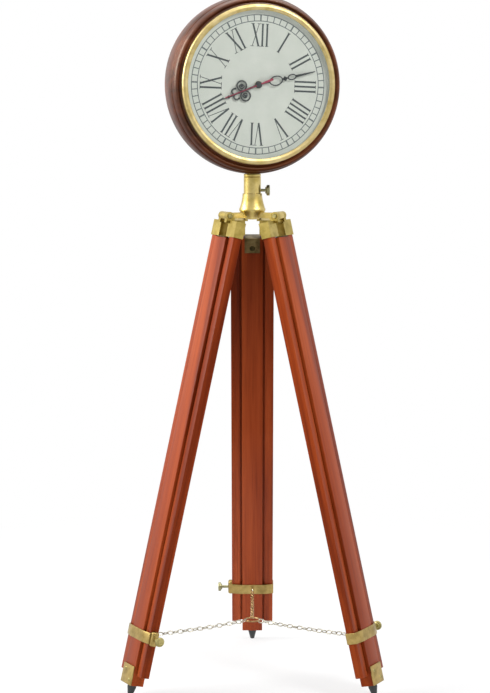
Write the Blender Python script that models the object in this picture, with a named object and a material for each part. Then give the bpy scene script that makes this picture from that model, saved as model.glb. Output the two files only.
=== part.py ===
"""Tripod floor clock: a round clock head on a brass hub with three folding, extending wooden legs.

Metres, +Z up. The floor is z = 0 and the origin is under the middle of the model's box.
"""

import math

import bmesh
import bpy

# Fits, cuts and mesh fineness
fit_gap = 0.0003
overrun = 0.003
weld_distance = 0.000001
smooth_angle = math.radians(32)
large_steps = 52
stem_steps = 36
round_steps = 24
small_steps = 16
loop_steps = 18
wire_steps = 6

# Stance of the legs
leg_azimuths = {"back": math.radians(90), "left": math.radians(210), "right": math.radians(330)}
splay_angle = math.radians(13.76)
pivot_height = 0.824
pivot_radius = 0.0523
pivot_standoff = 0.0101

# Wood of a leg: two rails with a slide board between them
rail_width = 0.0161
rail_depth = 0.0159
rail_gap = 0.0034
rail_rise = 0.0403
slide_width = 0.0375
slide_outer_rise = 0.0045
slide_inner_rise = 0.003
slide_top_gaps = {"back": 0.0068, "left": 0.0022, "right": 0.0022}
tongue_thickness = 0.005
tongue_end_gap = 0.004
groove_depth = 0.003
wood_bevel = 0.0006

# Brass cap on each rail top, with its ear on the pivot pin
cap_top_drop = 0.0078
cap_length = 0.0273
cap_wall = 0.0012
cap_roof = 0.002
cap_inner_half = 0.0125
cap_bevel = 0.0007
ear_forward_share = 0.7
knuckle_radius = 0.0072
hub_knuckle_half = 0.0075
ear_thickness = 0.0068
ear_drop = 0.012
ear_reach = 0.0105
pin_radius = 0.0025
pin_head_radius = 0.0042
pin_head_thickness = 0.0024

# Plates on the slide, and the spike
slide_plate_width = 0.027
slide_plate_length = 0.0254
slide_plate_thickness = 0.0015
foot_plate_length = 0.0335
foot_plate_thickness = 0.0022
spike_length = 0.0215
spike_radius = 0.0078
spike_collar = 0.0055
spike_tip_radius = 0.004

# Clamp band low on the leg, its boss, screw and chain eye
band_rise = 0.110
band_height = 0.0192
band_thickness = 0.001
band_bevel = 0.0004
boss_height = 0.0255
boss_depth = 0.0135
boss_thickness = 0.006
boss_bevel = 0.003
clamp_shaft_radius = 0.0025
clamp_shaft_reach = 0.0188
clamp_head_radius = 0.0082
clamp_head_thickness = 0.0074
eye_radius = 0.0034
eye_wire_radius = 0.0011

# Chains and the ring that joins them
chain_wire_radius = 0.0016
chain_sag = 0.0015
chain_points = 9
ring_radius = 0.0133
ring_wire_radius = 0.0016

# Hub: turned bell with a socket for the post, and three arms
hub_bottom_drop = 0.0075
hub_bottom_radius = 0.0132
hub_cone_rise = 0.018
hub_widest_radius = 0.0228
hub_lip = 0.0028
bell_rise = 0.0265
bell_top_radius = 0.0168
bell_flare_power = 1.6
bell_flare_steps = 5
tube_radius = 0.0148
tube_rise = 0.0287
tube_chamfer = 0.0008
socket_depth = 0.044
arm_half_width = 0.0055
arm_height = 0.0096
arm_root = 0.008
stem_screw_rise = 0.0054
stem_screw_reach = 0.0076
stem_head_radius = 0.0092
stem_head_thickness = 0.0083

# Post between the hub and the clock head
post_radius = 0.011
post_flange_thickness = 0.0047
post_peg_radius = 0.009
post_peg_length = 0.020

# Clock head
head_turn = math.radians(16.3)
case_radius = 0.1524
case_front = 0.040
case_back = -0.030
case_bore_radius = 0.118
bezel_radius = 0.1358
bezel_opening_radius = 0.1254
bezel_side_top = 0.0438
bezel_crest = 0.0467
bezel_lip_top = 0.0452
bezel_lip_thickness = 0.0012
dial_radius = 0.131
dial_thickness = 0.001
dial_front = 0.0363
glass_radius = 0.1279
glass_thickness = 0.0016
spacer_width = 0.0022
moulding_shares = (
    (0.78, 0.00),
    (0.48, 0.01),
    (0.20, 0.09),
    (0.05, 0.28),
    (0.00, 0.54),
    (0.04, 0.70),
    (0.14, 0.79),
    (0.22, 0.81),
    (0.25, 0.86),
    (0.34, 0.93),
    (0.48, 0.975),
    (0.62, 0.98),
    (0.76, 0.955),
    (0.86, 0.935),
)

# Quartz movement behind the dial
movement_half_width = 0.028
movement_top = 0.020
movement_bottom = -0.036
movement_back = 0.017
movement_wall = 0.002
bay_wall = 0.0024
battery_radius = 0.0071
battery_length = 0.0490
battery_nub_radius = 0.0027
battery_nub_length = 0.0014
cover_thickness = 0.0015
bush_radius = 0.004
nut_radius = 0.0062
nut_thickness = 0.0016
wheel_thickness = 0.0015
hour_wheel_radius = 0.012
hour_wheel_height = 0.029
hour_pipe_radius = 0.0026
minute_wheel_radius = 0.009
minute_wheel_height = 0.024
minute_arbor_radius = 0.0016
second_wheel_radius = 0.008
second_wheel_height = 0.0205
second_arbor_radius = 0.0006
knob_radius = 0.0065
knob_thickness = 0.0042
knob_arbor_radius = 0.0015
knob_arbor_length = 0.005
knob_place = (0.014, 0.004)

# Hands, drawn pointing at twelve
dial_turn = math.radians(-2.4)
minute_angle = math.radians(75.1)
hour_angle = math.radians(246.3)
second_angle = math.radians(247.3)
hand_thickness = 0.0006
hand_layer = 0.0012
hour_length = 0.068
hour_boss_radius = 0.0062
hour_stem_width = 0.0026
hour_scroll_place = (0.0092, 0.029)
hour_scroll_radius = 0.0085
hour_leaf_place = (0.0062, 0.0432)
hour_leaf_radius = 0.0062
hour_wire = 0.0018
hour_bead_height = 0.057
hour_bead_radius = 0.0026
minute_length = 0.103
minute_boss_radius = 0.0047
minute_stem_width = 0.0021
minute_loop_height = 0.0315
minute_loop_half_width = 0.0082
minute_loop_half_length = 0.0122
minute_wire = 0.0016
minute_diamond_height = 0.048
minute_diamond_half = 0.0046
minute_eye_height = 0.0605
minute_eye_half_width = 0.0048
minute_eye_half_length = 0.0078
minute_blade_width = 0.0034
tip_width = 0.0008
second_length = 0.064
second_tail = 0.027
second_boss_radius = 0.003
second_width = 0.0011
second_tail_width = 0.0036

# Board over the back of the case, with a round way in to the movement
back_board_radius = 0.134
back_board_thickness = 0.004
back_opening_radius = 0.047
back_screw_circle = 0.126
back_screw_radius = 0.0016
back_screw_length = 0.012
back_head_radius = 0.0036
back_head_thickness = 0.0018
back_screw_angles = {"a": math.radians(90), "b": math.radians(210), "c": math.radians(330)}

# Worked out from the sizes above
slide_shift = (slide_outer_rise - slide_inner_rise) / 2
spike_offset = slide_shift - pivot_standoff
leg_length = (
    pivot_height + (spike_offset - spike_tip_radius) * math.sin(splay_angle)
) / math.cos(splay_angle)
slide_half = slide_width / 2
rail_inner = slide_half + rail_gap
leg_half = rail_inner + rail_width
depth_half = rail_depth / 2
rail_bottom = rail_rise - leg_length
slide_bottom = spike_length - leg_length
rail_top = -cap_top_drop - cap_roof - fit_gap
cap_bottom = -cap_top_drop - cap_length
band_level = band_rise - leg_length
eye_bite_share = 0.7
eye_bite = band_thickness * eye_bite_share
band_back = pivot_standoff + depth_half + slide_inner_rise + fit_gap + band_thickness
eye_offset = eye_bite - band_back - eye_radius - eye_wire_radius
hub_bottom_height = pivot_height - hub_bottom_drop
hub_widest_height = hub_bottom_height + hub_cone_rise
bell_top_height = hub_widest_height + bell_rise
tube_top_height = bell_top_height + tube_rise
socket_floor_height = tube_top_height - socket_depth
stem_screw_height = bell_top_height + stem_screw_rise
tube_seat = tube_top_height + fit_gap
head_height = tube_seat + post_flange_thickness + fit_gap + case_radius
seat_front = dial_front
bezel_back = dial_front + fit_gap
glass_front = bezel_lip_top - bezel_lip_thickness - fit_gap
glass_back = glass_front - glass_thickness
dial_back = dial_front - dial_thickness
movement_front = dial_back - fit_gap
nut_front = dial_front + fit_gap + nut_thickness
hour_hand_height = nut_front + fit_gap
minute_hand_height = hour_hand_height + hand_layer
second_hand_height = minute_hand_height + hand_layer
battery_floor = movement_front - movement_wall
battery_height = battery_floor - fit_gap - battery_radius
battery_level = movement_bottom + movement_wall + fit_gap + battery_radius
bay_top = battery_level + battery_radius + fit_gap
gear_bottom = bay_top + bay_wall
cover_back = movement_back + fit_gap
board_front = case_back - fit_gap
board_back = board_front - back_board_thickness


def clear_scene():
    for item in list(bpy.data.objects):
        bpy.data.objects.remove(item, do_unlink=True)


def finish(name, colour, roughness, metallic=0.0):
    made = bpy.data.materials.new(name)
    made.use_nodes = True
    shader = made.node_tree.nodes["Principled BSDF"]
    shader.inputs["Base Color"].default_value = (*colour, 1.0)
    shader.inputs["Roughness"].default_value = roughness
    shader.inputs["Metallic"].default_value = metallic
    return made


def empty(name, parent, place=(0, 0, 0), turn=(0, 0, 0)):
    made = bpy.data.objects.new(name, None)
    bpy.context.scene.collection.objects.link(made)
    made.parent = parent
    made.location = place
    made.rotation_euler = turn
    return made


def piece(name, shape, material, parent, place=(0, 0, 0), turn=(0, 0, 0)):
    bmesh.ops.remove_doubles(shape, verts=shape.verts, dist=weld_distance)
    bmesh.ops.recalc_face_normals(shape, faces=shape.faces)
    mesh = bpy.data.meshes.new(name)
    shape.to_mesh(mesh)
    shape.free()
    mesh.shade_smooth()
    mesh.set_sharp_from_angle(angle=smooth_angle)
    if material:
        mesh.materials.append(material)
    made = bpy.data.objects.new(name, mesh)
    bpy.context.scene.collection.objects.link(made)
    made.parent = parent
    made.location = place
    made.rotation_euler = turn
    return made


def bevel(target, width, segments=1):
    modifier = target.modifiers.new("edges", "BEVEL")
    modifier.width = width
    modifier.segments = segments
    modifier.limit_method = "ANGLE"


def guide(name, shape, target, operation, place, turn, solver="EXACT"):
    """Joins a shape to the target, or cuts it from the target, in the target's parent frame."""
    made = piece(name, shape, None, target.parent, place, turn)
    made.hide_render = True
    made.display_type = "WIRE"
    modifier = target.modifiers.new(name, "BOOLEAN")
    modifier.operation = operation
    modifier.object = made
    modifier.solver = solver
    return made


def add(name, shape, target, place=(0, 0, 0), turn=(0, 0, 0), solver="EXACT"):
    return guide("add_" + name, shape, target, "UNION", place, turn, solver)


def cut(name, shape, target, place=(0, 0, 0), turn=(0, 0, 0)):
    return guide("cut_" + name, shape, target, "DIFFERENCE", place, turn)


def turned(outline, steps, closed=False):
    """Spins (radius, height) points round Z. An open outline starts and ends on the axis."""
    shape = bmesh.new()
    corners = [shape.verts.new((radius, 0, height)) for radius, height in outline]
    edges = [shape.edges.new(pair) for pair in zip(corners, corners[1:])]
    if closed:
        edges.append(shape.edges.new((corners[-1], corners[0])))
    bmesh.ops.spin(
        shape,
        geom=corners + edges,
        cent=(0, 0, 0),
        axis=(0, 0, 1),
        angle=math.tau,
        steps=steps,
        use_merge=True,
    )
    return shape


def rod(radius, low, high, steps=round_steps):
    return turned([(0, low), (radius, low), (radius, high), (0, high)], steps)


def tube(inner, outer, low, high, steps=round_steps):
    return turned([(inner, low), (outer, low), (outer, high), (inner, high)], steps, closed=True)


def ring(radius, wire_radius, steps, wire_steps):
    outline = []
    for index in range(wire_steps):
        angle = math.tau * index / wire_steps
        outline.append((radius + wire_radius * math.cos(angle), wire_radius * math.sin(angle)))
    return turned(outline, steps, closed=True)


def box(low, high):
    shape = bmesh.new()
    bmesh.ops.create_cube(shape, size=1)
    size = [top - bottom for bottom, top in zip(low, high)]
    middle = [(top + bottom) / 2 for bottom, top in zip(low, high)]
    bmesh.ops.scale(shape, vec=size, verts=shape.verts)
    bmesh.ops.translate(shape, vec=middle, verts=shape.verts)
    return shape


def prism(outline, low, high):
    """Extrudes an (x, y) outline from z = low to z = high."""
    shape = bmesh.new()
    face = shape.faces.new([shape.verts.new((x, y, low)) for x, y in outline])
    made = bmesh.ops.extrude_face_region(shape, geom=[face])
    moved = [item for item in made["geom"] if isinstance(item, bmesh.types.BMVert)]
    bmesh.ops.translate(shape, vec=(0, 0, high - low), verts=moved)
    return shape


def leg_point(across, along):
    """Distance from the hub's axis and height of a point in a leg's own (outward, up-leg) plane."""
    distance = pivot_radius + across * math.cos(splay_angle) - along * math.sin(splay_angle)
    height = pivot_height + across * math.sin(splay_angle) + along * math.cos(splay_angle)
    return distance, height


def thumbscrew(shaft_radius, shaft_low, shaft_high, head_radius, head_thickness):
    """Shaft from shaft_low to shaft_high, then a head that flares to its rim."""
    neck_share = 0.62
    waist_share = 0.35
    dish_share = 0.12
    head_top = shaft_high + head_thickness
    outline = [
        (0, shaft_low),
        (shaft_radius, shaft_low),
        (shaft_radius, shaft_high),
        (head_radius * neck_share, shaft_high),
        (head_radius * neck_share, shaft_high + head_thickness * dish_share),
        (head_radius, shaft_high + head_thickness * waist_share),
        (head_radius, head_top - head_thickness * dish_share),
        (head_radius * neck_share, head_top),
        (0, head_top),
    ]
    return turned(outline, round_steps)


def make_hub(brass, stand):
    outline = [
        (0, hub_bottom_height),
        (hub_bottom_radius, hub_bottom_height),
        (hub_widest_radius, hub_widest_height - hub_lip),
        (hub_widest_radius, hub_widest_height),
    ]
    for index in range(1, bell_flare_steps + 1):
        share = index / bell_flare_steps
        height = hub_widest_height + (bell_top_height - hub_widest_height) * share
        spread = (1 - share) ** bell_flare_power
        outline.append((bell_top_radius + (hub_widest_radius - bell_top_radius) * spread, height))
    outline += [
        (tube_radius, bell_top_height),
        (tube_radius, tube_top_height - tube_chamfer),
        (tube_radius - tube_chamfer, tube_top_height),
        (post_radius + fit_gap, tube_top_height),
        (post_radius + fit_gap, socket_floor_height),
        (0, socket_floor_height),
    ]
    hub = piece("hub", turned(outline, stem_steps), brass, stand)
    arm_low = pivot_height - arm_height / 2
    bore = pin_radius + fit_gap
    arm_end = pivot_radius - (bore + knuckle_radius) / 2
    for side, azimuth in leg_azimuths.items():
        arm = box(
            (arm_root, -arm_half_width, arm_low),
            (arm_end, arm_half_width, arm_low + arm_height),
        )
        add("arm_" + side, arm, hub, turn=(0, 0, azimuth))
    for side, azimuth in leg_azimuths.items():
        place = (pivot_radius * math.cos(azimuth), pivot_radius * math.sin(azimuth), pivot_height)
        across = (math.radians(-90), 0, azimuth)
        knuckle = tube(bore, knuckle_radius, -hub_knuckle_half, hub_knuckle_half)
        add("knuckle_" + side, knuckle, hub, place, across)
    screw_hole = rod(clamp_shaft_radius + fit_gap, post_radius, tube_radius + overrun)
    cut("stem_screw_hole", screw_hole, hub, (0, 0, stem_screw_height), (0, math.radians(90), 0))
    return hub


def make_post(brass, stand):
    flange_top = tube_seat + post_flange_thickness
    outline = [
        (0, socket_floor_height + fit_gap),
        (post_radius, socket_floor_height + fit_gap),
        (post_radius, tube_seat),
        (tube_radius - tube_chamfer, tube_seat),
        (tube_radius, tube_seat + tube_chamfer),
        (tube_radius, flange_top - tube_chamfer),
        (tube_radius - tube_chamfer, flange_top),
        (post_peg_radius, flange_top),
        (post_peg_radius, flange_top + post_peg_length),
        (0, flange_top + post_peg_length),
    ]
    piece("stem_spigot", turned(outline, stem_steps), brass, stand)


def make_stem_screw(brass, stand):
    shape = thumbscrew(
        clamp_shaft_radius,
        post_radius + fit_gap,
        tube_radius + stem_screw_reach,
        stem_head_radius,
        stem_head_thickness,
    )
    place = (0, 0, stem_screw_height)
    piece("stem_clamp_screw", shape, brass, stand, place, (0, math.radians(90), 0))


def rail_outline(side):
    """Section of a rail: a groove in its inner side takes the slide's tongue."""
    groove_half = tongue_thickness / 2 + fit_gap
    floor = rail_inner + groove_depth
    points = [
        (-depth_half, rail_inner),
        (-groove_half, rail_inner),
        (-groove_half, floor),
        (groove_half, floor),
        (groove_half, rail_inner),
        (depth_half, rail_inner),
        (depth_half, leg_half),
        (-depth_half, leg_half),
    ]
    return [(x - pivot_standoff, side * y) for x, y in points]


def make_slide(side, wood, brass, leg):
    """Board thicker than the rails with a tongue along each edge, and its end plate."""
    slide_top = cap_bottom - slide_top_gaps[side]
    inner_face = -pivot_standoff - depth_half - slide_inner_rise
    outer_face = -pivot_standoff + depth_half + slide_outer_rise
    shape = box((inner_face, -slide_half, slide_bottom), (outer_face, slide_half, slide_top))
    board = piece(side + "_slide", shape, wood, leg)
    bevel(board, wood_bevel)
    reach = rail_inner + groove_depth - fit_gap
    tongue = box(
        (-pivot_standoff - tongue_thickness / 2, -reach, rail_bottom + tongue_end_gap),
        (-pivot_standoff + tongue_thickness / 2, reach, slide_top - tongue_end_gap),
    )
    add(side + "_tongue", tongue, board)
    plate_half = slide_plate_width / 2
    plate_back = inner_face - fit_gap - slide_plate_thickness
    flange_low = slide_top + fit_gap
    flange_top = flange_low + slide_plate_thickness
    shape = box(
        (plate_back, -plate_half, slide_top - slide_plate_length),
        (inner_face - fit_gap, plate_half, flange_top),
    )
    plate = piece(side + "_slide_plate", shape, brass, leg)
    flange = box(
        (inner_face - slide_plate_thickness, -plate_half, flange_low),
        (outer_face, plate_half, flange_top),
    )
    add(side + "_flange", flange, plate)


def band_outline(wall):
    """Section of the clamp band: close round the rails, and raised over the slide's faces."""
    edge = leg_half + fit_gap + wall
    rim = depth_half + fit_gap + wall
    crown = slide_half + fit_gap
    half = [
        (-rim - slide_inner_rise, crown),
        (-rim, edge),
        (rim, edge),
        (rim + slide_outer_rise, crown),
    ]
    points = half + [(x, -y) for x, y in reversed(half)]
    return [(x - pivot_standoff, y) for x, y in points]


def make_cap(name, side, brass, leg):
    low = cap_bottom
    wood_clear = depth_half + fit_gap
    outer_depth = wood_clear + cap_wall
    outer_half = leg_half + fit_gap + cap_wall
    ear_inner = hub_knuckle_half + fit_gap
    ear_outer = ear_inner + ear_thickness

    def span(near, far):
        return (min(side * near, side * far), max(side * near, side * far))

    body_span = span(cap_inner_half, outer_half)
    body = box(
        (-pivot_standoff - outer_depth, body_span[0], low),
        (-pivot_standoff + outer_depth, body_span[1], -cap_top_drop),
    )
    cap = piece(name, body, brass, leg)
    bevel(cap, cap_bevel, 2)
    ear_span = span(ear_inner, ear_outer)
    web = box((-ear_reach, ear_span[0], -ear_drop), (knuckle_radius * ear_forward_share, ear_span[1], 0))
    add(name + "_web", web, cap)
    knuckle = rod(knuckle_radius, ear_span[0], ear_span[1])
    add(name + "_knuckle", knuckle, cap, turn=(math.radians(-90), 0, 0))
    socket_span = span(rail_inner - fit_gap, leg_half + fit_gap)
    socket = box(
        (-pivot_standoff - wood_clear, socket_span[0], low - overrun),
        (-pivot_standoff + wood_clear, socket_span[1], -cap_top_drop - cap_roof),
    )
    cut(name + "_socket", socket, cap)
    hole = rod(pin_radius + fit_gap, ear_span[0] - overrun, ear_span[1] + overrun)
    cut(name + "_hole", hole, cap, turn=(math.radians(-90), 0, 0))


def make_pin(name, steel, leg):
    half = hub_knuckle_half + fit_gap + ear_thickness + fit_gap
    tip = half + pin_head_thickness
    outline = [
        (0, -tip),
        (pin_head_radius, -tip),
        (pin_head_radius, -half),
        (pin_radius, -half),
        (pin_radius, half),
        (pin_head_radius, half),
        (pin_head_radius, tip),
        (0, tip),
    ]
    piece(name, turned(outline, small_steps), steel, leg, turn=(math.radians(-90), 0, 0))


def make_band(name, brass, leg):
    half = leg_half + fit_gap + band_thickness
    low = band_level - band_height / 2
    high = band_level + band_height / 2
    band = piece(name, prism(band_outline(band_thickness), low, high), brass, leg)
    bevel(band, band_bevel)
    boss_shape = box(
        (-pivot_standoff - boss_depth / 2, leg_half / 2, band_level - boss_height / 2),
        (-pivot_standoff + boss_depth / 2, half + boss_thickness, band_level + boss_height / 2),
    )
    boss = add(name + "_boss", boss_shape, band)
    bevel(boss, boss_bevel, 2)
    inside = prism(band_outline(0), low - boss_height, high + boss_height)
    cut(name + "_inside", inside, band)
    hole = rod(clamp_shaft_radius + fit_gap, leg_half, half + boss_thickness + overrun)
    place = (-pivot_standoff, 0, band_level)
    cut(name + "_hole", hole, band, place, (math.radians(-90), 0, 0))
    eye = ring(eye_radius, eye_wire_radius, small_steps, wire_steps)
    add(name + "_eye", eye, band, (eye_offset, 0, band_level), (math.radians(90), 0, 0))


def make_leg(side, azimuth, woods, brass, steel, dark, stand):
    place = (pivot_radius * math.cos(azimuth), pivot_radius * math.sin(azimuth), pivot_height)
    leg = empty(side + "_leg", stand, place, (0, -splay_angle, azimuth))
    for label, sign in (("a", 1), ("b", -1)):
        rail = prism(rail_outline(sign), rail_bottom, rail_top)
        bevel(piece(f"{side}_rail_{label}", rail, woods["rail"], leg), wood_bevel)
        make_cap(f"{side}_rail_cap_{label}", sign, brass, leg)
    make_pin(side + "_pivot_pin", steel, leg)
    make_slide(side, woods["slide"], brass, leg)
    outer_face = -pivot_standoff + depth_half + slide_outer_rise + fit_gap
    shoe = box(
        (outer_face, -slide_half, slide_bottom),
        (outer_face + foot_plate_thickness, slide_half, slide_bottom + foot_plate_length),
    )
    piece(side + "_foot_plate", shoe, brass, leg)
    spike_outline = [
        (0, -leg_length),
        (spike_tip_radius, -leg_length),
        (spike_radius, slide_bottom - fit_gap - spike_collar),
        (spike_radius, slide_bottom - fit_gap),
        (0, slide_bottom - fit_gap),
    ]
    piece(side + "_spike", turned(spike_outline, round_steps), dark, leg, (spike_offset, 0, 0))
    make_band(side + "_clamp_band", brass, leg)
    screw = thumbscrew(
        clamp_shaft_radius,
        leg_half + fit_gap,
        leg_half + clamp_shaft_reach,
        clamp_head_radius,
        clamp_head_thickness,
    )
    screw_place = (-pivot_standoff, 0, band_level)
    piece(side + "_clamp_screw", screw, brass, leg, screw_place, (math.radians(-90), 0, 0))


def make_chain(side, azimuth, steel, stand):
    """Chain from the band's eye to the ring, as one slim tube with a slight sag."""
    eye_distance, eye_height = leg_point(eye_offset - eye_radius - eye_wire_radius, band_level)
    start = eye_distance - fit_gap
    end = ring_radius + ring_wire_radius + fit_gap
    curve = bpy.data.curves.new(side + "_chain", "CURVE")
    curve.dimensions = "3D"
    curve.bevel_depth = chain_wire_radius
    curve.bevel_resolution = 1
    curve.use_fill_caps = True
    spline = curve.splines.new("POLY")
    spline.points.add(chain_points - 1)
    for index, point in enumerate(spline.points):
        share = index / (chain_points - 1)
        distance = start + (end - start) * share
        height = eye_height - 4 * chain_sag * share * (1 - share)
        point.co = (distance * math.cos(azimuth), distance * math.sin(azimuth), height, 1)
    curve.materials.append(steel)
    made = bpy.data.objects.new(side + "_chain", curve)
    bpy.context.scene.collection.objects.link(made)
    made.parent = stand


def make_ring(steel, stand):
    height = leg_point(eye_offset - eye_radius - eye_wire_radius, band_level)[1]
    piece("chain_ring", ring(ring_radius, ring_wire_radius, round_steps, wire_steps), steel, stand, (0, 0, height))


def make_case(wood, head):
    width = case_radius - bezel_radius
    depth = case_front - case_back
    outline = [
        (case_radius - across * width, case_back + along * depth)
        for across, along in moulding_shares
    ]
    outline += [
        (bezel_radius + fit_gap, seat_front),
        (dial_radius + fit_gap, seat_front),
        (dial_radius + fit_gap, dial_back - fit_gap),
        (case_bore_radius, dial_back - fit_gap),
        (case_bore_radius, case_back),
    ]
    case = piece("case_ring", turned(outline, large_steps, closed=True), wood, head)
    peg_top = post_peg_length + fit_gap * 2
    hole = rod(post_peg_radius + fit_gap, -overrun, peg_top)
    cut("peg_hole", hole, case, (0, -case_radius, 0), (math.radians(-90), 0, 0))
    for label, angle in back_screw_angles.items():
        place = (back_screw_circle * math.cos(angle), back_screw_circle * math.sin(angle), case_back)
        pilot = rod(back_screw_radius + fit_gap, -overrun, back_screw_length, small_steps)
        cut("pilot_" + label, pilot, case, place)


def make_front(brass, clear, white, face, head):
    crest_radius = (bezel_radius + bezel_opening_radius) / 2
    shoulder = (bezel_crest - bezel_side_top) / 3
    outline = [
        (glass_radius + fit_gap, bezel_back),
        (bezel_radius, bezel_back),
        (bezel_radius, bezel_side_top),
        ((bezel_radius * 3 + crest_radius) / 4, bezel_side_top + shoulder * 2),
        (crest_radius, bezel_crest),
        ((bezel_opening_radius * 3 + crest_radius) / 4, bezel_lip_top + shoulder / 2),
        (bezel_opening_radius, bezel_lip_top - bezel_lip_thickness / 3),
        (bezel_opening_radius, bezel_lip_top - bezel_lip_thickness),
        (glass_radius + fit_gap, bezel_lip_top - bezel_lip_thickness),
    ]
    piece("bezel", turned(outline, large_steps, closed=True), brass, head)
    piece("glass", rod(glass_radius, glass_back, glass_front, large_steps), clear, head)
    spacer = tube(
        glass_radius - spacer_width, glass_radius, bezel_back, glass_back - fit_gap, large_steps
    )
    piece("glass_spacer", spacer, white, head)
    plate = tube(bush_radius + fit_gap, dial_radius, dial_back, dial_front, large_steps)
    piece("dial", plate, face, head)


def make_movement(black, grey, brass, head):
    case = piece(
        "movement_case",
        box(
            (-movement_half_width, movement_bottom, movement_back),
            (movement_half_width, movement_top, movement_front),
        ),
        black,
        head,
    )
    inner = movement_half_width - movement_wall
    add("bush", rod(bush_radius, battery_floor, nut_front, small_steps), case)
    gear_space = box(
        (-inner, gear_bottom, movement_back - overrun),
        (inner, movement_top - movement_wall, battery_floor),
    )
    cut("gear_space", gear_space, case)
    bay_half = (battery_length + battery_nub_length) / 2 + fit_gap
    bay = box(
        (-bay_half, movement_bottom + movement_wall, movement_back - overrun),
        (bay_half, bay_top, battery_floor),
    )
    cut("battery_bay", bay, case)
    bore = rod(hour_pipe_radius + fit_gap, movement_back, nut_front + overrun, small_steps)
    cut("bush_bore", bore, case)
    cover = piece(
        "movement_cover",
        box(
            (-inner + fit_gap, gear_bottom + fit_gap, cover_back),
            (inner - fit_gap, movement_top - movement_wall - fit_gap, cover_back + cover_thickness),
        ),
        grey,
        head,
    )
    knob_hole = rod(knob_arbor_radius + fit_gap, 0, cover_back + cover_thickness + overrun, small_steps)
    cut("knob_hole", knob_hole, cover, (*knob_place, 0))
    nut_low = dial_front + fit_gap
    nut = tube(bush_radius + fit_gap, nut_radius, nut_low, nut_front)
    piece("centre_nut", nut, brass, head)


def make_battery(finish_of_cell, head):
    half = (battery_length + battery_nub_length) / 2
    outline = [
        (0, -half),
        (battery_radius, -half),
        (battery_radius, half - battery_nub_length),
        (battery_nub_radius, half - battery_nub_length),
        (battery_nub_radius, half),
        (0, half),
    ]
    cell = turned(outline, round_steps)
    place = (0, battery_level, battery_height)
    piece("battery", cell, finish_of_cell, head, place, (0, math.radians(90), 0))


def make_wheel(name, radius, height, arbor, bore, top, material, head, bottom=None):
    """A wheel with its arbor or pipe up to the hand it carries. Bore 0 is a solid arbor."""
    low = height if bottom is None else bottom
    outline = [
        (arbor, low),
        (arbor, height),
        (radius, height),
        (radius, height + wheel_thickness),
        (arbor, height + wheel_thickness),
        (arbor, top),
    ]
    if bottom is None:
        outline = outline[1:]
    if bore:
        outline = [(bore, low)] + outline[1 if bottom is None else 0 :] + [(bore, top)]
        shape = turned(outline, round_steps, closed=True)
    else:
        shape = turned([(0, low)] + outline + [(0, top)], round_steps)
    piece(name, shape, material, head)


def make_wheels(brass, head):
    make_wheel(
        "hour_wheel",
        hour_wheel_radius,
        hour_wheel_height,
        hour_pipe_radius,
        minute_arbor_radius + fit_gap,
        hour_hand_height + hand_thickness,
        brass,
        head,
    )
    make_wheel(
        "minute_wheel",
        minute_wheel_radius,
        minute_wheel_height,
        minute_arbor_radius,
        second_arbor_radius + fit_gap,
        minute_hand_height + hand_thickness,
        brass,
        head,
    )
    make_wheel(
        "second_wheel",
        second_wheel_radius,
        second_wheel_height,
        second_arbor_radius,
        0,
        second_hand_height + hand_thickness,
        brass,
        head,
        bottom=cover_back + cover_thickness + fit_gap,
    )


def make_knob(black, head):
    front = cover_back - fit_gap
    outline = [
        (0, front - knob_thickness),
        (knob_radius, front - knob_thickness),
        (knob_radius, front),
        (knob_arbor_radius, front),
        (knob_arbor_radius, front + knob_arbor_length),
        (0, front + knob_arbor_length),
    ]
    piece("set_knob", turned(outline, round_steps), black, head, (*knob_place, 0))


def oval(half_width, half_length, wire, low, steps=loop_steps):
    """A flat oval loop: the outer edge, and the same edge drawn in by the wire's width."""
    shape = bmesh.new()
    loops = []
    for inset in (0, wire):
        for height in (low, low + hand_thickness):
            loop = []
            for index in range(steps):
                angle = math.tau * index / steps
                x = (half_width - inset) * math.cos(angle)
                y = (half_length - inset) * math.sin(angle)
                loop.append(shape.verts.new((x, y, height)))
            loops.append(loop)
    outer_low, outer_high, inner_low, inner_high = loops
    for first, second in (
        (outer_low, outer_high),
        (outer_high, inner_high),
        (inner_high, inner_low),
        (inner_low, outer_low),
    ):
        for index in range(steps):
            after = (index + 1) % steps
            shape.faces.new((first[index], first[after], second[after], second[index]))
    return shape


def bar(low_width, high_width, start, end, low):
    """A flat tapering bar along +Y."""
    corners = [
        (-low_width / 2, start),
        (low_width / 2, start),
        (high_width / 2, end),
        (-high_width / 2, end),
    ]
    return prism(corners, low, low + hand_thickness)


def make_hour_hand(black, head):
    low = hour_hand_height
    high = low + hand_thickness
    turn = (0, 0, dial_turn - hour_angle)
    hand = piece("hour_hand", rod(hour_boss_radius, low, high), black, head, turn=turn)
    stem = bar(hour_stem_width, tip_width, hour_boss_radius / 2, hour_length, low)
    add("hour_stem", stem, hand, turn=turn)

    def put(name, shape, x, y):
        cosine = math.cos(turn[2])
        sine = math.sin(turn[2])
        add(name, shape, hand, (x * cosine - y * sine, x * sine + y * cosine, 0), turn)

    for label, sign in (("a", 1), ("b", -1)):
        x, y = hour_scroll_place
        scroll = oval(hour_scroll_radius, hour_scroll_radius, hour_wire, low)
        put("hour_scroll_" + label, scroll, sign * x, y)
        x, y = hour_leaf_place
        leaf = oval(hour_leaf_radius, hour_leaf_radius, hour_wire, low)
        put("hour_leaf_" + label, leaf, sign * x, y)
    put("hour_bead", rod(hour_bead_radius, low, high, small_steps), 0, hour_bead_height)
    bore = rod(hour_pipe_radius + fit_gap, low - overrun, high + overrun)
    cut("hour_bore", bore, hand, turn=turn)


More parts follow.
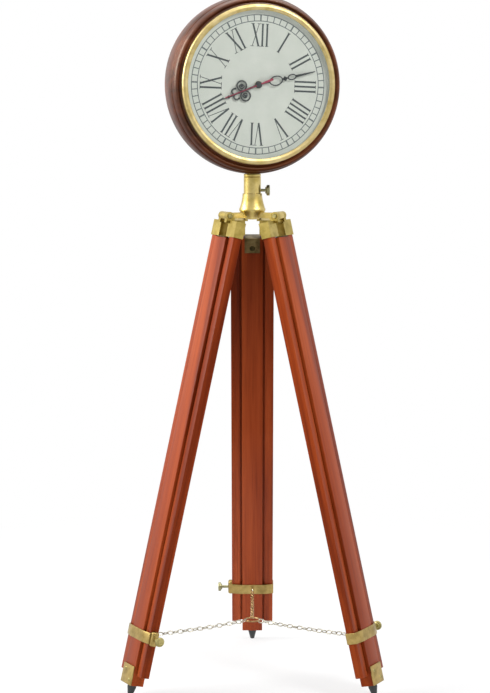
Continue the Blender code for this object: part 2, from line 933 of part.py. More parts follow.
def make_minute_hand(black, head):
    low = minute_hand_height
    high = low + hand_thickness
    turn = (0, 0, dial_turn - minute_angle)
    hand = piece("minute_hand", rod(minute_boss_radius, low, high), black, head, turn=turn)
    loop_start = minute_loop_height - minute_loop_half_length + minute_wire / 2
    stem = bar(minute_stem_width, minute_stem_width, minute_boss_radius / 2, loop_start, low)
    add("minute_stem", stem, hand, turn=turn)

    def put(name, shape, y):
        add(name, shape, hand, (-y * math.sin(turn[2]), y * math.cos(turn[2]), 0), turn)

    loop = oval(minute_loop_half_width, minute_loop_half_length, minute_wire, low)
    put("minute_loop", loop, minute_loop_height)
    half = minute_diamond_half
    diamond = prism([(-half, 0), (0, -half), (half, 0), (0, half)], low, high)
    put("minute_diamond", diamond, minute_diamond_height)
    eye = oval(minute_eye_half_width, minute_eye_half_length, minute_wire, low)
    put("minute_eye", eye, minute_eye_height)
    neck_start = minute_loop_height + minute_loop_half_length - minute_wire / 2
    neck_end = minute_eye_height - minute_eye_half_length + minute_wire / 2
    neck = bar(minute_stem_width, minute_stem_width, neck_start, neck_end, low)
    add("minute_neck", neck, hand, turn=turn)
    blade_start = minute_eye_height + minute_eye_half_length - minute_wire / 2
    blade = bar(minute_blade_width, tip_width, blade_start, minute_length, low)
    add("minute_blade", blade, hand, turn=turn)
    bore = rod(minute_arbor_radius + fit_gap, low - overrun, high + overrun, small_steps)
    cut("minute_bore", bore, hand, turn=turn)


def make_second_hand(red, head):
    low = second_hand_height
    high = low + hand_thickness
    turn = (0, 0, dial_turn - second_angle)
    hand = piece("second_hand", rod(second_boss_radius, low, high), red, head, turn=turn)
    start = second_boss_radius / 2
    add("second_needle", bar(second_width, second_width, start, second_length, low), hand, turn=turn)
    tail = bar(second_tail_width, second_width, -second_tail, -start, low)
    add("second_tail", tail, hand, turn=turn)
    bore = rod(second_arbor_radius + fit_gap, low - overrun, high + overrun, small_steps)
    cut("second_bore", bore, hand, turn=turn)


def make_back(board_finish, brass, head):
    board = tube(back_opening_radius, back_board_radius, board_back, board_front, large_steps)
    board = piece("back_board", board, board_finish, head)
    for label, angle in back_screw_angles.items():
        place = (back_screw_circle * math.cos(angle), back_screw_circle * math.sin(angle), 0)
        hole = rod(
            back_screw_radius + fit_gap, board_back - overrun, board_front + overrun, small_steps
        )
        cut("board_hole_" + label, hole, board, place)
        head_front = board_back - fit_gap
        tip = case_back + back_screw_length - fit_gap
        outline = [
            (0, head_front - back_head_thickness),
            (back_head_radius, head_front - back_head_thickness / 2),
            (back_head_radius, head_front),
            (back_screw_radius, head_front),
            (back_screw_radius, tip),
            (0, tip),
        ]
        piece("back_screw_" + label, turned(outline, small_steps), brass, head, place)


def centre_over_origin(stand):
    """Moves the stand so that the middle of the model's box is over the origin."""
    bpy.context.view_layer.update()
    state = bpy.context.evaluated_depsgraph_get()
    low = [math.inf, math.inf]
    high = [-math.inf, -math.inf]
    for item in bpy.data.objects:
        if item.type != "MESH" or item.hide_render:
            continue
        solid = item.evaluated_get(state)
        mesh = solid.to_mesh()
        for vertex in mesh.vertices:
            point = item.matrix_world @ vertex.co
            for axis in (0, 1):
                low[axis] = min(low[axis], point[axis])
                high[axis] = max(high[axis], point[axis])
        solid.to_mesh_clear()
    stand.location = (-(low[0] + high[0]) / 2, -(low[1] + high[1]) / 2, 0)


def build():
    clear_scene()
    brass = finish("brass", (0.72, 0.56, 0.24), 0.3, 1.0)
    rail_wood = finish("rail_wood", (0.42, 0.15, 0.07), 0.35)
    slide_wood = finish("slide_wood", (0.46, 0.17, 0.08), 0.35)
    case_wood = finish("case_wood", (0.14, 0.06, 0.04), 0.35)
    steel = finish("chain_steel", (0.40, 0.38, 0.34), 0.35, 1.0)
    dark = finish("spike_iron", (0.05, 0.055, 0.055), 0.45, 0.6)
    clear = finish("glass", (0.9, 0.93, 0.92), 0.05)
    white = finish("spacer_white", (0.72, 0.74, 0.72), 0.5)
    face = finish("dial_face", (0.58, 0.61, 0.57), 0.6)
    black = finish("movement_black", (0.03, 0.03, 0.032), 0.5)
    grey = finish("cover_grey", (0.2, 0.2, 0.21), 0.5)
    cell = finish("battery_jacket", (0.1, 0.16, 0.3), 0.35)
    hand_black = finish("hand_black", (0.02, 0.025, 0.025), 0.35)
    red = finish("second_red", (0.45, 0.03, 0.07), 0.4)
    board_finish = finish("back_board", (0.10, 0.05, 0.035), 0.6)

    stand = empty("stand", None)
    make_hub(brass, stand)
    make_post(brass, stand)
    make_stem_screw(brass, stand)
    woods = {"rail": rail_wood, "slide": slide_wood}
    for side, azimuth in leg_azimuths.items():
        make_leg(side, azimuth, woods, brass, brass, dark, stand)
        make_chain(side, azimuth, steel, stand)
    make_ring(steel, stand)

    head = empty("clock_head", stand, (0, 0, head_height), (math.radians(90), 0, head_turn))
    make_case(case_wood, head)
    make_front(brass, clear, white, face, head)
    make_movement(black, grey, brass, head)
    make_battery(cell, head)
    make_wheels(brass, head)
    make_knob(black, head)
    make_hour_hand(hand_black, head)
    make_minute_hand(hand_black, head)
    make_second_hand(red, head)
    make_back(board_finish, brass, head)
    centre_over_origin(stand)


build()
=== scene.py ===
"""Looks of the tripod floor clock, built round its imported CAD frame. Metres, +Z up."""

import math
import random

import bmesh
import bpy
from mathutils import Matrix, Vector


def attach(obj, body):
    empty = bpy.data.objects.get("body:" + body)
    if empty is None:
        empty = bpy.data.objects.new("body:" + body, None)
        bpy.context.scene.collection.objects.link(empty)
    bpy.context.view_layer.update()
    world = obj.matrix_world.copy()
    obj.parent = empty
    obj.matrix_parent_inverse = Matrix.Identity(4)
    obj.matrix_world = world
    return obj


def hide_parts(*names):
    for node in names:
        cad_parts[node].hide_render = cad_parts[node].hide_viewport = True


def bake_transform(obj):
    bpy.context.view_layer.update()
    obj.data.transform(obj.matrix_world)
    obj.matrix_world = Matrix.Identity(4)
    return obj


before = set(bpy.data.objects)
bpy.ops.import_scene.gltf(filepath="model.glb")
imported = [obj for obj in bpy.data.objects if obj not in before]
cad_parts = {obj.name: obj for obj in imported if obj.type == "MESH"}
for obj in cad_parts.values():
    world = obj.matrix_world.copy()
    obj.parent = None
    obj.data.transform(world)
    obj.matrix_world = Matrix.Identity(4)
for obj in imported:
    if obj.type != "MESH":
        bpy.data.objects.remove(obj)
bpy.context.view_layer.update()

# Places shared with the frame
hub_xy = (0.0, -0.042546)
leg_azimuths = {"back": 90, "left": 210, "right": 330}
splay = 13.76
pivot_height = 0.824
pivot_radius = 0.0523
standoff = 0.0101
leg_length = 0.845078
head_height = 1.0474
head_turn = 16.3
dial_turn = -2.4


def shift(x, y, z):
    return Matrix.Translation((x, y, z))


def rotation(degrees, axis):
    return Matrix.Rotation(math.radians(degrees), 4, axis)


TURN_X = rotation(90, "X")
TURN_Y = rotation(90, "Y")
ALONG_Y = rotation(-90, "X")
HUB = shift(*hub_xy, 0)
HEAD = shift(*hub_xy, head_height) @ rotation(head_turn, "Z") @ TURN_X
DIAL = HEAD @ rotation(dial_turn, "Z")


def leg_matrix(side):
    azimuth = math.radians(leg_azimuths[side])
    place = shift(
        hub_xy[0] + pivot_radius * math.cos(azimuth),
        hub_xy[1] + pivot_radius * math.sin(azimuth),
        pivot_height,
    )
    return place @ rotation(leg_azimuths[side], "Z") @ rotation(-splay, "Y")


LEGS = {side: leg_matrix(side) for side in leg_azimuths}


def add_object(name, data):
    made = bpy.data.objects.new(name, data)
    bpy.context.scene.collection.objects.link(made)
    return made


# Camera


def make_camera():
    """The camera fitted to the photograph. Focal length and shift were found in its pixels."""
    photo_height = 693
    focal_pixels = 1980
    shift_pixels = -7.3
    distance = 3.4343
    level = 1.0426
    tilt_down = 7.45
    data = bpy.data.cameras.new("camera")
    data.sensor_width = 36
    data.sensor_fit = "AUTO"
    data.lens = focal_pixels * 36 / photo_height
    data.shift_x = shift_pixels / photo_height
    data.clip_end = 60
    camera = add_object("camera", data)
    camera.location = (hub_xy[0], hub_xy[1] - distance, level)
    camera.rotation_euler = (math.radians(90 - tilt_down), 0, 0)
    bpy.context.scene.camera = camera


make_camera()


# Nodes for materials


class Tree:
    """A short way to write a node tree. A value is a number, a colour or another node's output."""

    def __init__(self, tree):
        self.tree = tree

    def new(self, kind, values=None, **settings):
        node = self.tree.nodes.new(kind)
        for key, value in settings.items():
            setattr(node, key, value)
        for key, value in (values or {}).items():
            self.feed(node.inputs[key], value)
        return node

    def feed(self, socket, value):
        if hasattr(value, "is_output"):
            self.tree.links.new(value, socket)
        else:
            socket.default_value = value

    def calc(self, operation, first, second):
        return self.new("ShaderNodeMath", {0: first, 1: second}, operation=operation).outputs[0]

    def span(self, value, low, high, to_low=0.0, to_high=1.0, **settings):
        """Maps low..high to to_low..to_high and stays there beyond."""
        values = {
            "Value": value,
            "From Min": low,
            "From Max": high,
            "To Min": to_low,
            "To Max": to_high,
        }
        return self.new("ShaderNodeMapRange", values, **settings).outputs["Result"]

    def axes(self, vector):
        return self.new("ShaderNodeSeparateXYZ", {"Vector": vector}).outputs

    def blend_shaders(self, share, first, second, output):
        values = {0: share, 1: first.outputs[0], 2: second.outputs[0]}
        mixed = self.new("ShaderNodeMixShader", values)
        self.feed(self.tree.nodes[output].inputs["Surface"], mixed.outputs[0])


class Nodes(Tree):
    """The node tree of a new material."""

    def __init__(self, name):
        self.material = bpy.data.materials.new(name)
        self.material.use_nodes = True
        super().__init__(self.material.node_tree)
        self.shader = self.tree.nodes["Principled BSDF"]

    def place(self, scale=(1, 1, 1), turn=(0, 0, 0)):
        """Object coordinates, scaled per axis."""
        source = self.new("ShaderNodeTexCoord").outputs["Object"]
        values = {"Vector": source, "Scale": scale, "Rotation": turn}
        return self.new("ShaderNodeMapping", values).outputs["Vector"]

    def noise(self, vector, scale, detail=3.0, roughness=0.5, distortion=0.0):
        names = ("Vector", "Scale", "Detail", "Roughness", "Distortion")
        values = dict(zip(names, (vector, scale, detail, roughness, distortion)))
        return self.new("ShaderNodeTexNoise", values).outputs["Fac"]

    def ramp(self, value, stops):
        node = self.new("ShaderNodeValToRGB", {"Fac": value})
        elements = node.color_ramp.elements
        while len(elements) < len(stops):
            elements.new(0.5)
        for element, (place, colour) in zip(elements, stops):
            element.position = place
            element.color = (*colour, 1)
        return node.outputs["Color"]

    def mix(self, factor, first, second, blend="MIX"):
        node = self.new("ShaderNodeMix", data_type="RGBA", blend_type=blend)
        self.feed(node.inputs[0], factor)
        for key, colour in ((6, first), (7, second)):
            self.feed(node.inputs[key], colour if hasattr(colour, "is_output") else (*colour, 1))
        return node.outputs[2]

    def bump(self, height, strength, distance):
        values = {"Height": height, "Strength": strength, "Distance": distance}
        self.set(Normal=self.new("ShaderNodeBump", values).outputs["Normal"])

    def set(self, **values):
        for key, value in values.items():
            self.feed(self.shader.inputs[key.replace("_", " ")], value)


def srgb(text):
    """Linear colour of a hex string."""
    shares = [int(text[at : at + 2], 16) / 255 for at in (0, 2, 4)]
    return tuple(c / 12.92 if c <= 0.04045 else ((c + 0.055) / 1.055) ** 2.4 for c in shares)


def tones(text):
    """Linear colours of hex strings, darkest first."""
    return [srgb(part) for part in text.split()]


def grain(m, colours, gloss, along, seed=0.0):
    """Wood on a material: long fibres along one axis, broad bands and fine pores."""
    dark, middle, light = tones(colours)
    white = (1, 1, 1)
    stretch = [46.0, 46.0, 46.0]
    stretch[along] = 1.9
    place = m.place(tuple(stretch), (0, 0, seed))
    band = m.noise(place, 0.55, 2.0, 0.5, 0.6)
    fibre = m.noise(place, 3.2, 6.0, 0.62, 0.25)
    fine = [420.0, 420.0, 420.0]
    fine[along] = 9.0
    pores = m.noise(m.place(tuple(fine)), 1.0, 2.0, 0.6)
    tone = m.ramp(
        m.mix(0.45, m.ramp(band, [(0.3, (0, 0, 0)), (0.7, white)]), fibre),
        [(0.25, dark), (0.5, middle), (0.78, light)],
    )
    specks = m.ramp(pores, [(0.32, (0.60, 0.52, 0.46)), (0.48, white)])
    m.set(Roughness=m.span(fibre, 0.3, 0.7, gloss - 0.04, gloss + 0.07))
    m.bump(m.mix(0.5, fibre, pores), 0.12, 0.0004)
    return m.mix(0.55, tone, m.mix(1.0, tone, specks, "MULTIPLY"))


def leg_wood(name, colours, gloss, seed=0.0, top_shade=None):
    """Varnished board of a leg, polished on its outer face and worn dull on the others.

    Its colour has painted shade: a little darker towards the foot, or with top_shade much darker
    towards the top.
    """
    shine = 0.20
    dull = 0.25 * shine
    m = Nodes(name)
    tone = grain(m, colours, gloss, 2, seed)
    height = m.axes(m.place())["Z"]
    # Painted shade multiplies the colour: much darker towards the top on the back leg, a little
    # darker towards the foot on the others
    if top_shade:
        painted_shade = m.span(height, -0.62, -0.08, 1.0, top_shade)
        dull = m.span(height, -0.56, -0.40, 0.9 * shine, dull)
    else:
        painted_shade = m.span(height, -0.80, -0.45, 0.84, 1.0)
    outward = m.axes(m.new("ShaderNodeTexCoord").outputs["Normal"])["X"]
    m.set(
        Base_Color=m.mix(1.0, tone, painted_shade, "MULTIPLY"),
        Specular_IOR_Level=m.span(outward, 0.0, 0.9, dull, shine),
    )
    return m.material


def case_wood(name, colours, gloss, shine):
    """Stained wood of the clock's case, duller underneath and at its lower rim, where its colour
    also has painted shade.
    """
    white = (1, 1, 1)
    m = Nodes(name)
    tone = grain(m, colours, gloss, 0)
    upward = m.axes(m.new("ShaderNodeTexCoord").outputs["Normal"])["Y"]
    height = m.axes(m.place())["Y"]
    # Painted shade: the colour darkens on faces that look down and towards the lower rim
    under = m.ramp(m.span(upward, -0.75, 0.0), [(0.0, (0.56, 0.52, 0.40)), (1.0, white)])
    rim = m.ramp(m.span(height, -0.146, -0.085), [(0.0, (0.66, 0.66, 0.36)), (1.0, white)])
    tone = m.mix(1.0, m.mix(1.0, tone, under, "MULTIPLY"), rim, "MULTIPLY")
    polish = m.calc(
        "MULTIPLY",
        m.span(upward, -0.6, 0.1, 0.25 * shine, shine),
        m.span(height, -0.146, -0.085, 0.3, 1.0),
    )
    m.set(Base_Color=tone, Specular_IOR_Level=polish, Specular_Tint=(1.0, 0.88, 0.70, 1))
    return m.material


def brass(name, colours, rough, scale=1.0, relief=0.028):
    """Lacquered cast and turned brass with slightly duller, darker patches."""
    deep, bright = tones(colours)
    m = Nodes(name)
    place = m.place((scale, scale, scale))
    cloud = m.noise(place, 55.0, 4.0, 0.6)
    grit = m.noise(place, 900.0, 2.0, 0.5)
    m.set(Base_Color=m.ramp(cloud, [(0.32, deep), (0.62, bright)]))
    m.set(Metallic=1.0, Roughness=m.span(cloud, 0.3, 0.7, rough + 0.05, rough - 0.03))
    m.bump(m.mix(0.4, cloud, grit), relief, 0.0003)
    return m.material


def plain(name, colours, rough, metallic=0.0, grit_scale=700.0, depth=0.08):
    """Paint, plastic or print: a faint mottle and a fine grain."""
    low, high = tones(colours)
    m = Nodes(name)
    place = m.place()
    cloud = m.noise(place, 38.0, 3.0, 0.55)
    grit = m.noise(place, grit_scale, 2.0, 0.5)
    m.set(Base_Color=m.ramp(m.mix(0.35, cloud, grit), [(0.3, low), (0.7, high)]))
    m.set(Metallic=metallic, Roughness=m.span(grit, 0.3, 0.7, rough - 0.05, rough + 0.06))
    m.bump(grit, depth, 0.0002)
    return m.material


def glass_material():
    """Clear pane: light passes straight, and the surface keeps its soft reflection."""
    m = Nodes("clear_glass")
    see = m.new("ShaderNodeBsdfTransparent", {"Color": (0.975, 0.985, 0.98, 1)})
    film = m.noise(m.place(), 9.0, 3.0)
    gloss = {"Color": (0.9, 0.92, 0.92, 1), "Roughness": m.span(film, 0.3, 0.7, 0.02, 0.07)}
    shine = m.new("ShaderNodeBsdfGlossy", gloss)
    slope = m.new("ShaderNodeLayerWeight", {"Blend": 0.5})
    edge = m.calc("POWER", slope.outputs["Facing"], 5.0)
    m.blend_shaders(m.span(edge, 0.0, 1.0, 0.035, 0.6), see, shine, "Material Output")
    m.tree.nodes.remove(m.shader)
    return m.material


MATS = {
    "rail": leg_wood("rail_wood", "6e270d 923b16 ac4e22", 0.36),
    "slide": leg_wood("slide_wood", "6a250b 903a16 aa4d22", 0.38, 0.4),
    # The back leg's boards are copies of the leg wood with painted shade towards the top
    "back_rail": leg_wood("back_rail_wood", "6e270f 923d19 ac4f26", 0.36, 0.0, 0.60),
    "back_slide": leg_wood("back_slide_wood", "6a250d 903b18 aa4e25", 0.38, 0.4, 0.60),
    "case": case_wood("case_wood", "38160c 542614 6e3822", 0.36, 0.56),
    "case_back": case_wood("back_wood", "2e1710 42221a 573026", 0.5, 0.3),
    "brass": brass("brass", "ad9748 d2bd7a", 0.34, relief=0.008),
    "cap": brass("cap_brass", "98843f bda85f", 0.31, 1.2),
    "bezel": brass("bezel_brass", "b39e60 cfbc88", 0.42),
    "worn_brass": brass("worn_brass", "8c8250 bdb178", 0.38, 1.4),
    "band": brass("band_brass", "8e7947 b59c60", 0.35, 1.2),
    "dull_brass": brass("dull_brass", "7a7654 a6a27c", 0.40, 1.4),
    "plate": brass("plate_brass", "453a20 6f6140", 0.42, 1.4),
    "chain": brass("chain_metal", "9c9888 c8c4b4", 0.34, 2.0),
    "ring": brass("ring_metal", "7c5e3a b8986c", 0.34, 2.0),
    "spike": plain("spike_iron", "26292a 4a4d4d", 0.45, 0.6),
    "dial": plain("dial_paint", "cfd1c7 dbdbd2", 0.55, 0.0, 500.0, 0.04),
    "track": plain("track_print", "596060 727876", 0.6),
    "print": plain("dial_print", "2c3133 434a4b", 0.6),
    "hand": plain("hand_black", "101415 24292a", 0.35),
    "second": plain("second_red", "8e1f38 b23050", 0.4),
    "spacer": plain("spacer_white", "c5c8c0 d8dad2", 0.5),
    "movement": plain("movement_black", "17181a 2a2c2e", 0.45, 0.0, 900.0, 0.2),
    "cover": plain("cover_grey", "2a2c30 3d4044", 0.5, 0.0, 900.0, 0.2),
    "jacket": plain("battery_jacket", "1d2b4a 2b3f68", 0.28),
    "dark_screw": brass("dark_screw", "2c2716 4a4228", 0.4, 1.4),
    "glass": glass_material(),
}


# Building


def clean(shape):
    bmesh.ops.remove_doubles(shape, verts=shape.verts, dist=0.000001)
    bmesh.ops.recalc_face_normals(shape, faces=shape.faces)
    return shape


def resmooth(item, angle=32):
    item.data.shade_smooth()
    item.data.set_sharp_from_angle(angle=math.radians(angle))


def add_mesh(name, shape, material, matrix=None, angle=32):
    mesh = bpy.data.meshes.new(name)
    clean(shape).to_mesh(mesh)
    shape.free()
    made = add_object(name, mesh)
    resmooth(made, angle)
    if material:
        mesh.materials.append(MATS[material])
    if matrix is not None:
        made.matrix_world = matrix
    return made


def apply_modifiers(item):
    bpy.context.view_layer.update()
    state = bpy.context.evaluated_depsgraph_get()
    mesh = bpy.data.meshes.new_from_object(item.evaluated_get(state))
    item.modifiers.clear()
    item.data = mesh


def combine(target, tool, operation):
    """Unites the target with the tool, or cuts it, and removes the tool."""
    modifier = target.modifiers.new("boolean", "BOOLEAN")
    modifier.operation = operation
    modifier.solver = "EXACT"
    modifier.object = tool
    apply_modifiers(target)
    bpy.data.objects.remove(tool, do_unlink=True)


def unite(target, shape, matrix=None):
    tool = add_mesh("tool", shape, None, target.matrix_world if matrix is None else matrix)
    combine(target, tool, "UNION")


def cut(target, shape, matrix=None):
    tool = add_mesh("tool", shape, None, target.matrix_world if matrix is None else matrix)
    combine(target, tool, "DIFFERENCE")


def soften(item, width, segments=3, angle=30):
    modifier = item.modifiers.new("edges", "BEVEL")
    modifier.width = width
    modifier.segments = segments
    modifier.limit_method = "ANGLE"
    modifier.angle_limit = math.radians(angle)
    modifier.harden_normals = False
    apply_modifiers(item)
    resmooth(item, 50)


def fit(item, body, slot, *nodes):
    """The piece rides on a body and stands for CAD nodes. The slot is not used."""
    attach(item, body)
    if nodes:
        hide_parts(*nodes)


def piece(name, shape, material, matrix, body, slot, angle=32, edge=0):
    """The look of the CAD node of that name, with softened edges where edge gives a width."""
    made = add_mesh(name + "_look", shape, material, matrix, angle)
    if edge:
        soften(made, edge)
    fit(made, body, slot, name)


def lathe(outline, steps=64, closed=False):
    shape = bmesh.new()
    corners = [shape.verts.new((radius, 0, height)) for radius, height in outline]
    edges = [shape.edges.new(pair) for pair in zip(corners, corners[1:])]
    if closed:
        edges.append(shape.edges.new((corners[-1], corners[0])))
    bmesh.ops.spin(
        shape,
        geom=corners + edges,
        cent=(0, 0, 0),
        axis=(0, 0, 1),
        angle=math.tau,
        steps=steps,
        use_merge=True,
    )
    return shape


def rod(radius, low, high, steps=32):
    return lathe([(0, low), (radius, low), (radius, high), (0, high)], steps)


def tube(inner, outer, low, high, steps=48):
    return lathe([(inner, low), (outer, low), (outer, high), (inner, high)], steps, True)


def torus(radius, wire, steps=32, wire_steps=10):
    outline = []
    for index in range(wire_steps):
        angle = math.tau * index / wire_steps
        outline.append((radius + wire * math.cos(angle), wire * math.sin(angle)))
    return lathe(outline, steps, True)


def box(low, high):
    shape = bmesh.new()
    bmesh.ops.create_cube(shape, size=1)
    size = [top - bottom for bottom, top in zip(low, high)]
    middle = [(top + bottom) / 2 for bottom, top in zip(low, high)]
    bmesh.ops.scale(shape, vec=size, verts=shape.verts)
    bmesh.ops.translate(shape, vec=middle, verts=shape.verts)
    return shape


def prism(outline, low, high):
    shape = bmesh.new()
    face = shape.faces.new([shape.verts.new((x, y, low)) for x, y in outline])
    made = bmesh.ops.extrude_face_region(shape, geom=[face])
    moved = [item for item in made["geom"] if isinstance(item, bmesh.types.BMVert)]
    bmesh.ops.translate(shape, vec=(0, 0, high - low), verts=moved)
    return shape


def spline(before, start, end, after, t):
    """Catmull-Rom value a share t of the way from start to end."""
    return 0.5 * (
        2 * start
        + (end - before) * t
        + (2 * before - 5 * start + 4 * end - after) * t * t
        + (3 * start - before - 3 * end + after) * t**3
    )


def smooth_outline(points, steps=6):
    """A finer and rounded outline through the points."""
    fine = []
    count = len(points)
    for index in range(count - 1):
        near = (max(index - 1, 0), index, index + 1, min(index + 2, count - 1))
        axes = list(zip(*(points[at] for at in near)))
        for step in range(steps):
            fine.append(tuple(spline(*values, step / steps) for values in axes))
    fine.append(points[-1])
    return fine


# Legs. In a leg's frame x points outward from its face, y across it and z up along it

seat_gap = 0.0003
pin_hole = 0.0028
lug_radius = 0.0072
depth_half = 0.00795
slide_half = 0.01875
rail_inner = 0.02215
leg_half = 0.03825
tongue_half = 0.0025
rail_top = -0.0101
rail_bottom = 0.0403 - leg_length
cap_top = -0.0078
cap_bottom = -0.0351
slide_top_gaps = {"back": 0.0068, "left": 0.0022, "right": 0.0022}
slide_tops = {side: cap_bottom - gap for side, gap in slide_top_gaps.items()}
slide_bottom = 0.0215 - leg_length
slide_inner = -depth_half - 0.003
slide_outer = depth_half + 0.0045
band_level = 0.110 - leg_length
band_wall = 0.001
eye_x = -standoff + slide_inner - 0.0013 - 0.0038
eye_radius = 0.0034
hang_x = eye_x - eye_radius
ring_radius = 0.0133

ENDS = (("a", 1), ("b", -1))


def make_rail(side, label, sign):
    floor = rail_inner + 0.003
    groove = tongue_half + seat_gap
    points = [
        (-depth_half, rail_inner),
        (-groove, rail_inner),
        (-groove, floor),
        (groove, floor),
        (groove, rail_inner),
        (depth_half, rail_inner),
        (depth_half, leg_half),
        (-depth_half, leg_half),
    ]
    outline = [(x - standoff, sign * y) for x, y in points]
    name = f"{side}_rail_{label}"
    material = "back_rail" if side == "back" else "rail"
    shape = prism(outline, rail_bottom, rail_top)
    piece(name, shape, material, LEGS[side], side + "_leg", "rail_wood", edge=0.0009)


def make_slide(side):
    """The board and the two tongues that run in the rails' grooves."""
    reach = rail_inner + 0.0027
    top = slide_tops[side]
    material = "back_slide" if side == "back" else "slide"
    low = (slide_inner - standoff, -slide_half, slide_bottom)
    high = (slide_outer - standoff, slide_half, top)
    body = side + "_slider"
    piece(side + "_slide", box(low, high), material, LEGS[side], body, "slide_wood", edge=0.0009)
    for label, sign in ENDS:
        edges = sorted((sign * (slide_half - 0.0004), sign * reach))
        low = (-tongue_half - standoff, edges[0], rail_bottom + 0.0005)
        high = (tongue_half - standoff, edges[1], top - 0.004)
        tongue = add_mesh(f"{side}_tongue_{label}_look", box(low, high), material, LEGS[side])
        soften(tongue, 0.0004)
        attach(tongue, body)


def cross_slot(screw, matrix, low, high, first):
    """Two slots at right angles in a screw head, cut with a box between two corners."""
    for angle in (first, first + 90):
        cut(screw, box(low, high), matrix @ rotation(angle, "Z"))
    resmooth(screw)


def wood_screw(name, place, side, radius, outward, material):
    """A round screw head with a cross slot, on a plate of the slide. Outward is 1 or -1."""
    rise = 0.0011
    outline = [
        (0, 0),
        (radius, 0),
        (radius * 0.93, rise * 0.45),
        (radius * 0.6, rise * 0.85),
        (0, rise),
    ]
    seat = LEGS[side] @ shift(*place) @ rotation(90 * outward, "Y")
    head = add_mesh(name, lathe(outline, 24), material, seat)
    low = (-radius * 0.8, -0.00028, rise * 0.45)
    high = (radius * 0.8, 0.00028, rise * 2)
    cross_slot(head, head.matrix_world, low, high, 25)
    fit(head, side + "_slider", "brass")


def make_cap(side, label, sign):
    """The brass end of a rail: a hollow box over the wood, and an ear for the pivot pin."""
    clear = depth_half + seat_gap
    outer_depth = clear + 0.0012
    outer_half = leg_half + seat_gap + 0.0012
    ear = sorted((sign * 0.0078, sign * 0.0146))
    span = sorted((sign * 0.0125, sign * outer_half))
    socket = sorted((sign * (rail_inner - seat_gap), sign * (leg_half + seat_gap)))
    matrix = LEGS[side]
    name = f"{side}_rail_cap_{label}"
    low = (-standoff - outer_depth, span[0], cap_bottom)
    high = (-standoff + outer_depth, span[1], cap_top)
    cap = add_mesh(name + "_look", box(low, high), "cap", matrix)
    unite(cap, box((-0.0105, ear[0], -0.012), (0.0050, ear[1], 0)))
    unite(cap, rod(lug_radius, *ear), matrix @ ALONG_Y)
    soften(cap, 0.0019, 5)
    low = (-standoff - clear, socket[0], cap_bottom - 0.003)
    high = (-standoff + clear, socket[1], rail_top + seat_gap)
    cut(cap, box(low, high))
    cut(cap, rod(pin_hole, ear[0] - 0.003, ear[1] + 0.003, 24), matrix @ ALONG_Y)
    resmooth(cap, 40)
    fit(cap, side + "_leg", "brass", name)


def make_pin(side):
    """A plain pin with a flat head at each end."""
    half = 0.0149
    head = [
        (0, half + 0.0024),
        (0.0030, half + 0.0024),
        (0.0042, half + 0.0014),
        (0.0042, half),
        (0.0025, half),
    ]
    outline = [(radius, -height) for radius, height in head] + head[::-1]
    place = LEGS[side] @ ALONG_Y
    piece(side + "_pivot_pin", lathe(outline, 32), "worn_brass", place, "hub", "brass")


def make_plates(side):
    """The angle plate over the board's upper end and the shoe on its outer face below."""
    matrix = LEGS[side]
    inner = -standoff + slide_inner - seat_gap
    outer = -standoff + slide_outer + seat_gap
    sheet = 0.0015
    shoe_sheet = 0.0022
    top = slide_tops[side]
    bottom = top - 0.0254
    angle_outline = [
        (inner - sheet, -bottom),
        (inner, -bottom),
        (inner, -top - seat_gap),
        (outer - seat_gap, -top - seat_gap),
        (outer - seat_gap, -top - seat_gap - sheet),
        (inner - sheet, -top - seat_gap - sheet),
    ]
    shape = prism(angle_outline, -0.0135, 0.0135)
    body = side + "_slider"
    piece(side + "_slide_plate", shape, "plate", matrix @ ALONG_Y, body, "brass", edge=0.0004)
    place = (inner - sheet, 0, bottom + 0.0085)
    wood_screw(side + "_plate_screw", place, side, 0.0050, -1, "dark_screw")
    low = (outer, -slide_half, slide_bottom)
    high = (outer + shoe_sheet, slide_half, slide_bottom + 0.0335)
    piece(side + "_foot_plate", box(low, high), "band", matrix, body, "brass", edge=0.0007)
    for index, (y, up) in enumerate(((-0.0095, 0.025), (0.0095, 0.009))):
        place = (outer + shoe_sheet, y, slide_bottom + up)
        wood_screw(f"{side}_foot_screw_{index}", place, side, 0.0030, 1, "worn_brass")


def make_spike(side):
    top = slide_bottom - seat_gap
    outline = [
        (0, -leg_length),
        (0.0036, -leg_length),
        (0.0040, -leg_length + 0.0004),
        (0.0075, top - 0.0064),
        (0.0078, top - 0.0055),
        (0.0078, top - 0.0005),
        (0.0073, top),
        (0, top),
    ]
    matrix = LEGS[side] @ shift((slide_inner + slide_outer) / 2 - standoff, 0, 0)
    shape = lathe(outline, 48)
    piece(side + "_spike", shape, "spike", matrix, side + "_slider", "spike_iron")


def knurled(shaft, low, high, radius, thickness, steps=48):
    """A thumbscrew: shaft, flared neck and a head with a milled rim."""
    top = high + thickness
    outline = [
        (0, low),
        (shaft * 0.8, low),
        (shaft, low + shaft * 0.2),
        (shaft, high),
        (radius * 0.58, high),
        (radius * 0.62, high + thickness * 0.14),
        (radius * 0.93, high + thickness * 0.30),
        (radius, high + thickness * 0.40),
        (radius, top - thickness * 0.16),
        (radius * 0.9, top - thickness * 0.05),
        (radius * 0.60, top - thickness * 0.02),
        (radius * 0.50, top - thickness * 0.10),
        (0, top - thickness * 0.14),
    ]
    shape = lathe(outline, steps)
    clean(shape)
    for vertex in shape.verts:
        distance = math.hypot(vertex.co.x, vertex.co.y)
        if distance > radius * 0.97:
            index = round(math.atan2(vertex.co.y, vertex.co.x) / math.tau * steps)
            if index % 2:
                vertex.co.x *= 0.955
                vertex.co.y *= 0.955
    return shape


